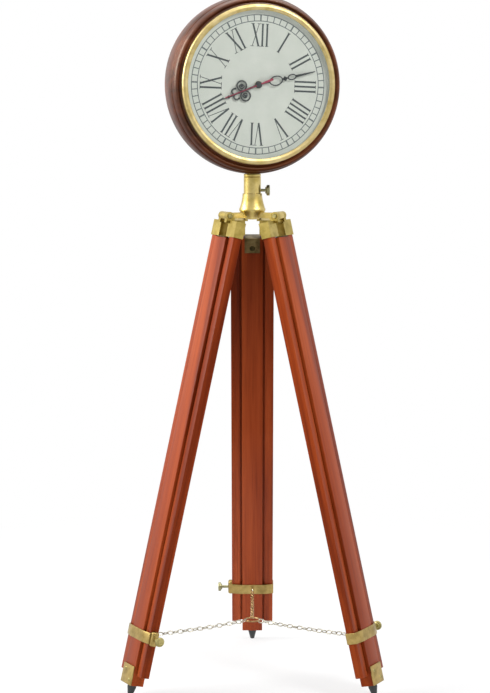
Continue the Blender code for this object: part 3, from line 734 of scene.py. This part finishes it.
def band_outline(wall, count=5):
    """Section of the clamp band: close on the rails, and raised over the slide's faces."""
    edge = leg_half + seat_gap + wall
    rim = depth_half + seat_gap + wall
    crown = slide_half + seat_gap
    shares = [index / count for index in range(count + 1)]
    outer = [(share, math.sin(share * math.pi / 2) ** 1.3) for share in shares]
    half = []
    for share, lift in reversed(outer):
        x = -rim - (-depth_half - slide_inner) * lift
        half.append((x, edge + (crown - edge) * share))
    for share, lift in outer:
        x = rim + (slide_outer - depth_half) * lift
        half.append((x, edge + (crown - edge) * share))
    points = half + [(x, -y) for x, y in reversed(half)]
    return [(x - standoff, y) for x, y in points]


def make_band(side):
    """The clamp band with its boss for the thumbscrew and its eye for the chain."""
    matrix = LEGS[side]
    axis = matrix @ shift(-standoff, 0, band_level) @ ALONG_Y
    half = leg_half + seat_gap
    low = band_level - 0.0096
    high = band_level + 0.0096
    shape = prism(band_outline(band_wall), low, high)
    band = add_mesh(side + "_clamp_band_look", shape, "band", matrix)
    soften(band, 0.0007, 3)
    boss_half = 0.00675
    boss_low = (-standoff - boss_half, leg_half / 2, band_level - 0.01275)
    boss_high = (-standoff + boss_half, half + band_wall + 0.0060, band_level + 0.01275)
    boss = add_mesh("tool", box(boss_low, boss_high), None, matrix)
    soften(boss, 0.0036, 5)
    combine(band, boss, "UNION")
    cut(band, prism(band_outline(0), low - 0.02, high + 0.02))
    cut(band, rod(pin_hole, leg_half, half + band_wall + 0.01, 24), axis)
    resmooth(band, 40)
    fit(band, side + "_leg", "brass", side + "_clamp_band")
    place = matrix @ shift(eye_x, 0, band_level) @ TURN_X
    eye = add_mesh(side + "_band_eye", torus(eye_radius, 0.0011, 28, 10), "chain", place)
    fit(eye, side + "_leg", "brass")
    shape = knurled(0.0025, half, leg_half + 0.0188, 0.0082, 0.0074)
    material = "dull_brass" if side == "back" else "worn_brass"
    piece(side + "_clamp_screw", shape, material, axis, side + "_screw", "brass")


def leg_point(side, across, along):
    return LEGS[side] @ Vector((across, 0, along))


def link_shape(length, width, wire, steps=20, wire_steps=8):
    """One oval link round the origin, long along X, flat in XY."""
    shape = bmesh.new()
    straight = (length - width) / 2
    radius = width / 2 - wire
    rings = []
    for index in range(steps):
        angle = math.tau * index / steps
        cosine = math.cos(angle)
        sine = math.sin(angle)
        out = Vector((cosine, sine, 0))
        middle = Vector((math.copysign(straight, cosine) + radius * cosine, radius * sine, 0))
        section = []
        for side in range(wire_steps):
            turn = math.tau * side / wire_steps
            offset = out * (wire * math.cos(turn)) + Vector((0, 0, wire * math.sin(turn)))
            section.append(shape.verts.new(middle + offset))
        rings.append(section)
    for index in range(steps):
        first = rings[index]
        second = rings[(index + 1) % steps]
        for side in range(wire_steps):
            after = (side + 1) % wire_steps
            shape.faces.new((first[side], first[after], second[after], second[side]))
    return shape


def absorb(whole, shape):
    """Adds one shape's faces to another, and frees it."""
    mesh = bpy.data.meshes.new("part")
    shape.to_mesh(mesh)
    shape.free()
    whole.from_mesh(mesh)
    bpy.data.meshes.remove(mesh)


def link_frame(direction, roll, middle):
    """Where a link lies: its length along the direction, rolled about it."""
    across = Vector((0, 0, 1)).cross(direction).normalized()
    up = direction.cross(across)
    flat_side = across * math.cos(roll) + up * math.sin(roll)
    columns = (direction, flat_side, direction.cross(flat_side), middle)
    return Matrix([[column[row] for column in columns] for row in range(3)] + [[0, 0, 0, 1]])


def make_chain(side):
    """Links from the ring to the band's eye, each a quarter turn on, with a shallow sag."""
    length = 0.0116
    width = 0.0084
    wire = 0.00098
    sag = 0.0018
    wobble = 9
    end = leg_point(side, hang_x, band_level)
    azimuth = math.radians(leg_azimuths[side])
    out = Vector((math.cos(azimuth), math.sin(azimuth), 0))
    start = Vector((hub_xy[0], hub_xy[1], end.z)) + out * ring_radius
    run = (end - start).length
    count = round(run / (length - 2 * wire * 1.06))
    shape = bmesh.new()
    chance = random.Random(leg_azimuths[side])
    for index in range(count):
        share = (index + 0.5) / count
        middle = start.lerp(end, share) - Vector((0, 0, 4 * sag * share * (1 - share)))
        slope = -4 * sag * (1 - 2 * share) / run
        direction = (out + Vector((0, 0, slope))).normalized()
        roll = math.radians(45 + 90 * (index % 2) + chance.uniform(-wobble, wobble))
        link = link_shape(length, width, wire)
        bmesh.ops.transform(link, matrix=link_frame(direction, roll, middle), verts=link.verts)
        absorb(shape, link)
    material = "ring" if side == "back" else "chain"
    chain = add_mesh(side + "_chain_look", shape, material, None, 60)
    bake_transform(chain)
    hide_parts(side + "_chain")


def make_ring():
    height = leg_point("back", hang_x, band_level).z
    place = HUB @ shift(0, 0, height)
    shape = torus(ring_radius, 0.0015, 48, 12)
    piece("chain_ring", shape, "ring", place, "hub", "chain_steel")


# Hub and post


hub_bottom = 0.8165
skirt_top = 0.8350
bell_top = 0.8606
tube_top = 0.8897
socket_bottom = 0.8457
clamp_height = 0.8664
tube_radius = 0.0148
socket_radius = 0.0113


def make_hub():
    """Bell-shaped hub with a skirt below, a tube with the post's socket above and three lugs."""
    outline = [
        (0, hub_bottom),
        (0.0124, hub_bottom),
        (0.0132, 0.8171),
        (0.0225, 0.8310),
        (0.0228, 0.8318),
        (0.0228, 0.8343),
        (0.0224, skirt_top),
    ]
    steps = 16
    for index in range(1, steps + 1):
        share = index / steps
        height = skirt_top + (bell_top - skirt_top) * share
        outline.append((0.0168 + (0.0222 - 0.0168) * (1 - share) ** 1.6, height))
    outline += [
        (0.0164, 0.8610),
        (0.0150, 0.8611),
        (tube_radius, 0.8614),
        (tube_radius, 0.8890),
        (0.0141, tube_top),
        (socket_radius, tube_top),
        (socket_radius, socket_bottom),
        (0, socket_bottom),
    ]
    hub = add_mesh("hub_look", lathe(outline, 72), "brass", HUB)
    turns = [HUB @ rotation(azimuth, "Z") for azimuth in leg_azimuths.values()]
    arm_low = (0.008, -0.0055, pivot_height - 0.0048)
    arm_high = (0.0473, 0.0055, pivot_height + 0.0048)
    for turn in turns:
        unite(hub, box(arm_low, arm_high), turn)
    for turn in turns:
        place = turn @ shift(pivot_radius, 0, pivot_height) @ ALONG_Y
        unite(hub, tube(pin_hole, lug_radius, -0.0075, 0.0075, 32), place)
    across = HUB @ shift(0, 0, clamp_height) @ TURN_Y
    cut(hub, rod(pin_hole, 0.011, 0.018, 24), across)
    resmooth(hub, 30)
    fit(hub, "hub", "brass", "hub")


def make_post():
    """The post in its socket, with a collar under the case, and the screw that holds it."""
    post_radius = 0.0110
    collar_bottom = 0.8900
    top = collar_bottom + 0.0047
    outline = [
        (0, 0.846),
        (post_radius, 0.846),
        (post_radius, collar_bottom),
        (0.0141, collar_bottom),
        (tube_radius, 0.8906),
        (tube_radius, top - 0.0007),
        (0.0142, top),
        (0.0090, top),
        (0.0090, top + 0.020),
        (0, top + 0.020),
    ]
    piece("stem_spigot", lathe(outline, 64), "brass", HUB, "post", "brass")
    shape = knurled(0.0025, socket_radius, 0.0224, 0.0092, 0.0083)
    across = HUB @ shift(0, 0, clamp_height) @ TURN_Y
    piece("stem_clamp_screw", shape, "dull_brass", across, "post_screw", "brass")


# Clock head

case_radius = 0.1524
case_front = 0.040
case_back = -0.030
bezel_radius = 0.1358
bezel_opening = 0.1254
dial_front = 0.0363
dial_radius = 0.131
spacer_radius = 0.1279
dial_bore = 0.0043
case_bore = 0.118
# Section of the case: shares of its rim's width inward and of its depth forward
moulding = (
    (0.78, 0.00),
    (0.48, 0.01),
    (0.20, 0.09),
    (0.05, 0.28),
    (0.00, 0.54),
    (0.04, 0.70),
    (0.14, 0.79),
    (0.22, 0.81),
    (0.25, 0.86),
    (0.34, 0.93),
    (0.48, 0.975),
    (0.62, 0.98),
    (0.76, 0.955),
    (0.86, 0.935),
)


def make_case():
    """The turned case, with a hole below for the post's upper end."""
    width = case_radius - bezel_radius
    depth = case_front - case_back
    rough = [(case_radius - a * width, case_back + b * depth) for a, b in moulding]
    outline = smooth_outline(rough[:7], 6) + smooth_outline(rough[7:], 6)
    outline += [
        (bezel_radius + seat_gap, dial_front),
        (dial_radius + seat_gap, dial_front),
        (dial_radius + seat_gap, dial_front - 0.0013),
        (case_bore, dial_front - 0.0013),
        (case_bore, case_back),
    ]
    case = add_mesh("case_ring_look", lathe(outline, 156, True), "case", HEAD, 24)
    place = HEAD @ shift(0, -case_radius, 0) @ ALONG_Y
    cut(case, rod(0.0093, -0.003, 0.0206), place)
    resmooth(case, 24)
    fit(case, "clock_head", "case_wood", "case_ring")


def make_front():
    crest = (bezel_radius + bezel_opening) / 2
    rough = [
        (bezel_radius - 0.0001, 0.0420),
        (bezel_radius - 0.0006, 0.0440),
        (bezel_radius - 0.0024, 0.0459),
        (crest, 0.0467),
        (bezel_opening + 0.0026, 0.0462),
        (bezel_opening + 0.0009, 0.0454),
        (bezel_opening + 0.0001, 0.0446),
    ]
    rebate = spacer_radius + seat_gap
    outline = [
        (rebate, dial_front + seat_gap),
        (bezel_radius - 0.0004, dial_front + seat_gap),
        (bezel_radius, dial_front + 0.0008),
    ]
    outline += smooth_outline(rough, 5)
    outline += [(bezel_opening, 0.0440), (rebate, 0.0440)]
    piece("bezel", lathe(outline, 156, True), "bezel", HEAD, "clock_head", "brass", 40)
    chamfer = 0.0004
    pane = [
        (0, 0.0421),
        (spacer_radius - chamfer, 0.0421),
        (spacer_radius, 0.0425),
        (spacer_radius, 0.0433),
        (spacer_radius - chamfer, 0.0437),
        (0, 0.0437),
    ]
    piece("glass", lathe(pane, 104), "glass", HEAD, "clock_head", "glass")
    shape = tube(0.1257, spacer_radius, dial_front + seat_gap, 0.0418, 104)
    piece("glass_spacer", shape, "spacer", HEAD, "clock_head", "spacer_white")
    shape = tube(dial_bore, dial_radius, 0.0353, dial_front, 104)
    piece("dial", shape, "dial", HEAD, "clock_head", "dial_face")


print_lift = 0.00006


def add_print(name, polygons, material="print"):
    """Flat print on the dial, from lists of (x, y) points."""
    shape = bmesh.new()
    for polygon in polygons:
        shape.faces.new([shape.verts.new((x, y, dial_front + print_lift)) for x, y in polygon])
    shape.normal_update()
    for face in shape.faces:
        if face.normal.z < 0:
            face.normal_flip()
    mesh = bpy.data.meshes.new(name)
    shape.to_mesh(mesh)
    shape.free()
    mesh.materials.append(MATS[material])
    made = add_object(name, mesh)
    made.matrix_world = DIAL
    fit(made, "clock_head", "hand_black")


def circle_band(inner, outer, steps=240):
    rays = []
    for index in range(steps + 1):
        angle = math.tau * index / steps
        rays.append((math.cos(angle), math.sin(angle)))
    quads = []
    for first, second in zip(rays, rays[1:]):
        corners = ((first, inner), (first, outer), (second, outer), (second, inner))
        quads.append([(ray[0] * radius, ray[1] * radius) for ray, radius in corners])
    return quads


def spoke(angle, inner, outer, width):
    """A radial bar. The angle runs clockwise from twelve."""
    sine = math.sin(angle)
    cosine = math.cos(angle)
    half = width / 2
    corners = []
    for side, radius in ((-half, inner), (half, inner), (half, outer), (-half, outer)):
        corners.append((sine * radius + cosine * side, cosine * radius - sine * side))
    return corners


def make_track():
    polygons = circle_band(0.1169, 0.1184) + circle_band(0.1065, 0.1079)
    for minute in range(60):
        angle = math.tau * minute / 60
        width = 0.0026 if minute % 5 == 0 else 0.0016
        polygons.append(spoke(angle, 0.1076, 0.1172, width))
    add_print("minute_track", polygons, "track")


numeral_low = 0.0645
numeral_height = 0.1030 - numeral_low
thick = 0.0031
thin = 0.0010
serif = 0.0010
slab = serif * 1.3


def bar_stroke(x):
    """Upright stroke with a slab serif at each end, as (x, y) polygons."""
    half = thick / 2
    foot = half + 0.0019
    top = numeral_height
    return [
        [(x - half, 0), (x + half, 0), (x + half, top), (x - half, top)],
        [(x - foot, 0), (x + foot, 0), (x + half, slab), (x - half, slab)],
        [(x - half, top - slab), (x + half, top - slab), (x + foot, top), (x - foot, top)],
    ]


def slant(x_low, x_high, width):
    half = width / 2
    top = numeral_height
    return [[(x_low - half, 0), (x_low + half, 0), (x_high + half, top), (x_high - half, top)]]


def short_serif(x, y):
    half = 0.0031
    return [[(x - half, y), (x + half, y), (x + half, y + serif), (x - half, y + serif)]]


def letter_v(x):
    spread = 0.0058
    top = numeral_height - serif
    parts = slant(x + 0.0006, x - spread, thick * 1.02)
    parts += slant(x + 0.0010, x + spread, thin * 1.2)
    return parts + short_serif(x - spread, top) + short_serif(x + spread, top)


def letter_x(x):
    spread = 0.0056
    parts = slant(x + spread, x - spread, thick * 1.04)
    parts += slant(x - spread, x + spread, thin * 1.2)
    for y in (numeral_height - serif, 0):
        parts += short_serif(x - spread, y) + short_serif(x + spread, y)
    return parts


# Each letter's advance and the function that draws it
letters = {"I": (0.0080, bar_stroke), "V": (0.0165, letter_v), "X": (0.0160, letter_x)}


def numeral(text):
    """Roman numeral centred on x = 0, feet at y = 0."""
    x = -sum(letters[letter][0] for letter in text) / 2
    parts = []
    for letter in text:
        advance, draw = letters[letter]
        parts += draw(x + advance / 2)
        x += advance
    return parts


def make_numerals():
    names = ("XII", "I", "II", "III", "IIII", "V", "VI", "VII", "VIII", "IX", "X", "XI")
    for hour, text in enumerate(names):
        angle = -math.tau * hour / 12
        cosine = math.cos(angle)
        sine = math.sin(angle)
        polygons = []
        for part in numeral(text):
            raised = [(x, y + numeral_low) for x, y in part]
            polygons.append([(x * cosine - y * sine, x * sine + y * cosine) for x, y in raised])
        add_print("numeral_" + text, polygons)


# Hands

hand_thickness = 0.0006
hour_level = 0.0385
minute_level = 0.0397
second_level = 0.0409
hour_angle = 246.3
minute_angle = 75.1
second_angle = 247.3


def wire_mesh(paths, low):
    """Flat hand metal along lines: each path is a list of (x, y, width)."""
    shape = bmesh.new()
    for path in paths:
        left = []
        right = []
        for index, (x, y, width) in enumerate(path):
            before = path[max(index - 1, 0)]
            after = path[min(index + 1, len(path) - 1)]
            along = Vector((after[0] - before[0], after[1] - before[1])).normalized()
            side = Vector((-along.y, along.x)) * (width / 2)
            left.append((x + side.x, y + side.y))
            right.append((x - side.x, y - side.y))
        rows = []
        for height in (low, low + hand_thickness):
            rows.append([shape.verts.new((x, y, height)) for x, y in left])
            rows.append([shape.verts.new((x, y, height)) for x, y in right])
        low_left, low_right, high_left, high_right = rows
        last = len(path) - 1
        for at in range(last):
            to = at + 1
            shape.faces.new((low_left[at], low_left[to], low_right[to], low_right[at]))
            shape.faces.new((high_left[at], high_right[at], high_right[to], high_left[to]))
            shape.faces.new((low_left[at], high_left[at], high_left[to], low_left[to]))
            shape.faces.new((low_right[at], low_right[to], high_right[to], high_right[at]))
        for at in (0, last):
            shape.faces.new((low_left[at], low_right[at], high_right[at], high_left[at]))
    return shape


def arc(x, y, radius, start, end, width, steps=20, squeeze=1.0, end_radius=None):
    """Points round (x, y), for wire_mesh. Angles are in degrees from +X."""
    points = []
    last_radius = radius if end_radius is None else end_radius
    for index in range(steps + 1):
        share = index / steps
        angle = math.radians(start + (end - start) * share)
        size = radius + (last_radius - radius) * share
        across = x + size * squeeze * math.cos(angle)
        points.append((across, y + size * math.sin(angle), width))
    return points


def dot(x, y, radius, low, steps=20):
    shape = rod(radius, low, low + hand_thickness, steps)
    bmesh.ops.translate(shape, vec=(x, y, 0), verts=shape.verts)
    return shape


def add_hand(name, shapes, material, angle, slot):
    """One hand from its shapes, which point to twelve, turned to its angle."""
    whole = bmesh.new()
    for shape in shapes:
        absorb(whole, shape)
    matrix = DIAL @ rotation(-angle, "Z")
    piece(name + "_hand", whole, material, matrix, name, slot)
    return matrix


def make_hour_hand():
    """A stem with two curled loops, a pair of leaves, beads and a pointed tip."""
    low = hour_level
    paths = [[(0, 0.003, 0.0036), (0, 0.030, 0.0032), (0, 0.0545, 0.0028)]]
    for sign in (1, -1):
        from_top = 90 - sign * 250, 90 + sign * 90
        paths.append(arc(sign * 0.0092, 0.0285, 0.0083, *from_top, 0.0024, 30))
        inward = 90 + sign * 170, 90 - sign * 190
        paths.append(arc(sign * 0.0086, 0.0290, 0.0044, *inward, 0.0020, 24, 1, 0.0030))
        leaf = 90 + sign * 100, 90 - sign * 130
        paths.append(arc(sign * 0.0052, 0.0435, 0.0058, *leaf, 0.0025, 20, 1, 0.0040))
    shapes = [wire_mesh(paths, low), tube(0.0029, 0.0062, low, low + hand_thickness, 40)]
    for sign in (1, -1):
        shapes.append(dot(sign * 0.0090, 0.0288, 0.0022, low))
        shapes.append(dot(sign * 0.0088, 0.0405, 0.0016, low))
    shapes.append(dot(0, 0.0567, 0.0027, low, 24))
    shapes.append(wire_mesh([[(0, 0.0585, 0.0030), (0, 0.068, 0.0008)]], low))
    add_hand("hour", shapes, "hand", hour_angle, "hand_black")


def make_minute_hand():
    """Two open loops with a diamond between them, and a long tip."""
    low = minute_level
    high = low + hand_thickness
    paths = [
        [(0, 0.002, 0.0026), (0, 0.0200, 0.0021)],
        arc(0, 0.0315, 0.0114, -90, 270, 0.0020, 40, 0.66),
        [(0, 0.0422, 0.0021), (0, 0.0540, 0.0021)],
        arc(0, 0.0605, 0.0070, -90, 270, 0.0019, 32, 0.60),
        [(0, 0.0668, 0.0040), (0, 0.074, 0.0038), (0, 0.103, 0.0014)],
    ]
    diamond = [(-0.0046, 0.048), (0, 0.0434), (0.0046, 0.048), (0, 0.0526)]
    shapes = [wire_mesh(paths, low), tube(0.0019, 0.0047, low, high, 32)]
    shapes.append(prism(diamond, low, high))
    add_hand("minute", shapes, "hand", minute_angle, "hand_black")


def make_second_hand():
    """A thin needle with a heavier tail, and the boss that covers the arbor."""
    low = second_level
    high = low + hand_thickness
    tail = [(0, -0.027, 0.0030), (0, -0.0255, 0.0038), (0, -0.012, 0.0032)]
    needle = [(0, 0, 0.0020), (0, 0.020, 0.0015), (0, 0.064, 0.0012)]
    shapes = [wire_mesh([tail + needle], low), tube(0.0009, 0.0032, low, high, 28)]
    matrix = add_hand("second", shapes, "second", second_angle, "second_red")
    top = high + 0.0004
    cap = [(0, top), (0.0034, top), (0.0044, high + 0.0001), (0.0044, low), (0, low)]
    boss = add_mesh("second_boss_look", lathe(cap, 36), "hand", matrix)
    fit(boss, "second", "hand_black")


def make_nut():
    outline = [
        (dial_bore, 0.0366),
        (0.0060, 0.0366),
        (0.0062, 0.0369),
        (0.0062, 0.0378),
        (0.0058, 0.0382),
        (dial_bore, 0.0382),
    ]
    piece("centre_nut", lathe(outline, 36, True), "brass", HEAD, "clock_head", "brass")


def make_back():
    """The board that closes the case, open in the middle, and its three screws."""
    opening = 0.047
    edge = 0.134
    chamfer = 0.0013
    screw_circle = 0.126
    outline = [
        (opening, -0.0330),
        (opening + chamfer, -0.0343),
        (edge - chamfer, -0.0343),
        (edge, -0.0330),
        (edge, case_back - seat_gap),
        (opening, case_back - seat_gap),
    ]
    board = add_mesh("back_board_look", lathe(outline, 104, True), "case_back", HEAD)
    places = []
    for angle in (90, 210, 330):
        turn = math.radians(angle)
        places.append(HEAD @ shift(screw_circle * math.cos(turn), screw_circle * math.sin(turn), 0))
    for place in places:
        cut(board, rod(0.0019, -0.04, -0.02, 24), place)
    resmooth(board)
    fit(board, "clock_head", "back_board", "back_board")
    outline = [
        (0, -0.0364),
        (0.0018, -0.0363),
        (0.0030, -0.0358),
        (0.0036, -0.0350),
        (0.0036, -0.0346),
        (0.0016, -0.0346),
        (0.0016, -0.0183),
        (0, -0.0183),
    ]
    for label, place in zip("abc", places):
        screw = add_mesh(f"back_screw_{label}_look", lathe(outline, 28), "worn_brass", place)
        cross_slot(screw, place, (-0.003, -0.0003, -0.038), (0.003, 0.0003, -0.0357), 20)
        fit(screw, "clock_head", "brass", "back_screw_" + label)


def carry_over():
    """CAD nodes that keep their shape take the scene's materials."""
    for name, material in (
        ("movement_case", "movement"),
        ("movement_cover", "cover"),
        ("set_knob", "movement"),
        ("battery", "jacket"),
        ("hour_wheel", "brass"),
        ("minute_wheel", "brass"),
        ("second_wheel", "brass"),
    ):
        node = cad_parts[name]
        node.data.materials.clear()
        node.data.materials.append(MATS[material])


# Studio


def area_light(name, place, target, size, power, colour=(1, 1, 1)):
    data = bpy.data.lights.new(name, "AREA")
    data.shape = "RECTANGLE"
    data.size = size[0]
    data.size_y = size[1]
    data.energy = power
    data.color = colour
    light = add_object(name, data)
    light.location = place
    direction = Vector(target) - Vector(place)
    light.rotation_euler = direction.to_track_quat("-Z", "Y").to_euler()


def make_studio():
    scene = bpy.context.scene
    scene.view_settings.view_transform = "Standard"
    world = bpy.data.worlds.new("studio")
    scene.world = world
    world.use_nodes = True
    w = Tree(world.node_tree)
    background = w.tree.nodes["Background"]
    background.inputs["Color"].default_value = (0.80, 0.82, 0.84, 1)
    background.inputs["Strength"].default_value = 0.42
    white = w.new("ShaderNodeBackground", {"Color": (1, 1, 1, 1)})
    rays = w.new("ShaderNodeLightPath").outputs
    seen = w.calc("MAXIMUM", rays["Is Camera Ray"], rays["Is Transmission Ray"])
    # In reflections the sweep behind the clock and the ceiling are white, and the room in front
    # of it is dim
    axes = w.axes(w.new("ShaderNodeTexCoord").outputs["Generated"])
    soft = {"interpolation_type": "SMOOTHSTEP"}
    sweep = w.span(axes["Y"], -0.97, -0.55, 0.24, 1.0, **soft)
    ceiling = w.span(axes["Z"], 0.10, 0.50, **soft)
    room = w.calc("MAXIMUM", sweep, ceiling)
    reflected = w.calc("MULTIPLY", rays["Is Glossy Ray"], room)
    w.blend_shaders(w.calc("MAXIMUM", seen, reflected), background, white, "World Output")

    m = Nodes("floor_paint")
    mottle = m.noise(m.place(), 3.0, 3.0)
    m.set(Base_Color=m.ramp(mottle, [(0.3, (0.86, 0.86, 0.86)), (0.7, (0.9, 0.9, 0.9))]))
    m.set(Roughness=0.8, Specular_IOR_Level=0.1)
    shine = m.new("ShaderNodeEmission", {"Color": (1, 1, 1, 1), "Strength": 1.0})
    rays = m.new("ShaderNodeLightPath").outputs
    seen = m.calc("MAXIMUM", rays["Is Camera Ray"], rays["Is Glossy Ray"])
    seen = m.calc("MAXIMUM", seen, rays["Is Transmission Ray"])
    # The floor is fully white away from the clock and keeps its shadow close to it
    away = m.new("ShaderNodeVectorMath", {0: m.place()}, operation="LENGTH").outputs["Value"]
    share = m.calc("MULTIPLY", seen, m.span(away, 0.35, 1.3, 0.72, 1.0))
    m.blend_shaders(share, m.shader, shine, "Material Output")
    shape = bmesh.new()
    bmesh.ops.create_grid(shape, x_segments=8, y_segments=8, size=14)
    mesh = bpy.data.meshes.new("floor")
    shape.to_mesh(mesh)
    shape.free()
    mesh.materials.append(m.material)
    floor = add_object("floor", mesh)
    floor.location = (0, 0, -0.0002)

    area_light("side", (-2.8, -0.3, 2.2), (0, 0, 0.9), (1.6, 2.2), 124, (1.0, 0.99, 0.97))
    area_light("front", (2.2, -2.0, 3.2), (0, 0, 0.9), (1.0, 1.0), 84, (0.99, 0.99, 1.0))
    area_light("top", (0.2, 0.6, 3.2), (0, 0, 0.6), (2.4, 2.0), 40)


def main():
    for side in leg_azimuths:
        for label, sign in ENDS:
            make_rail(side, label, sign)
        make_slide(side)
        for label, sign in ENDS:
            make_cap(side, label, sign)
        make_pin(side)
        make_plates(side)
        make_spike(side)
        make_band(side)
        make_chain(side)
    make_ring()
    make_hub()
    make_post()
    make_case()
    make_front()
    make_track()
    make_numerals()
    make_hour_hand()
    make_minute_hand()
    make_second_hand()
    make_nut()
    make_back()
    carry_over()
    make_studio()


main()
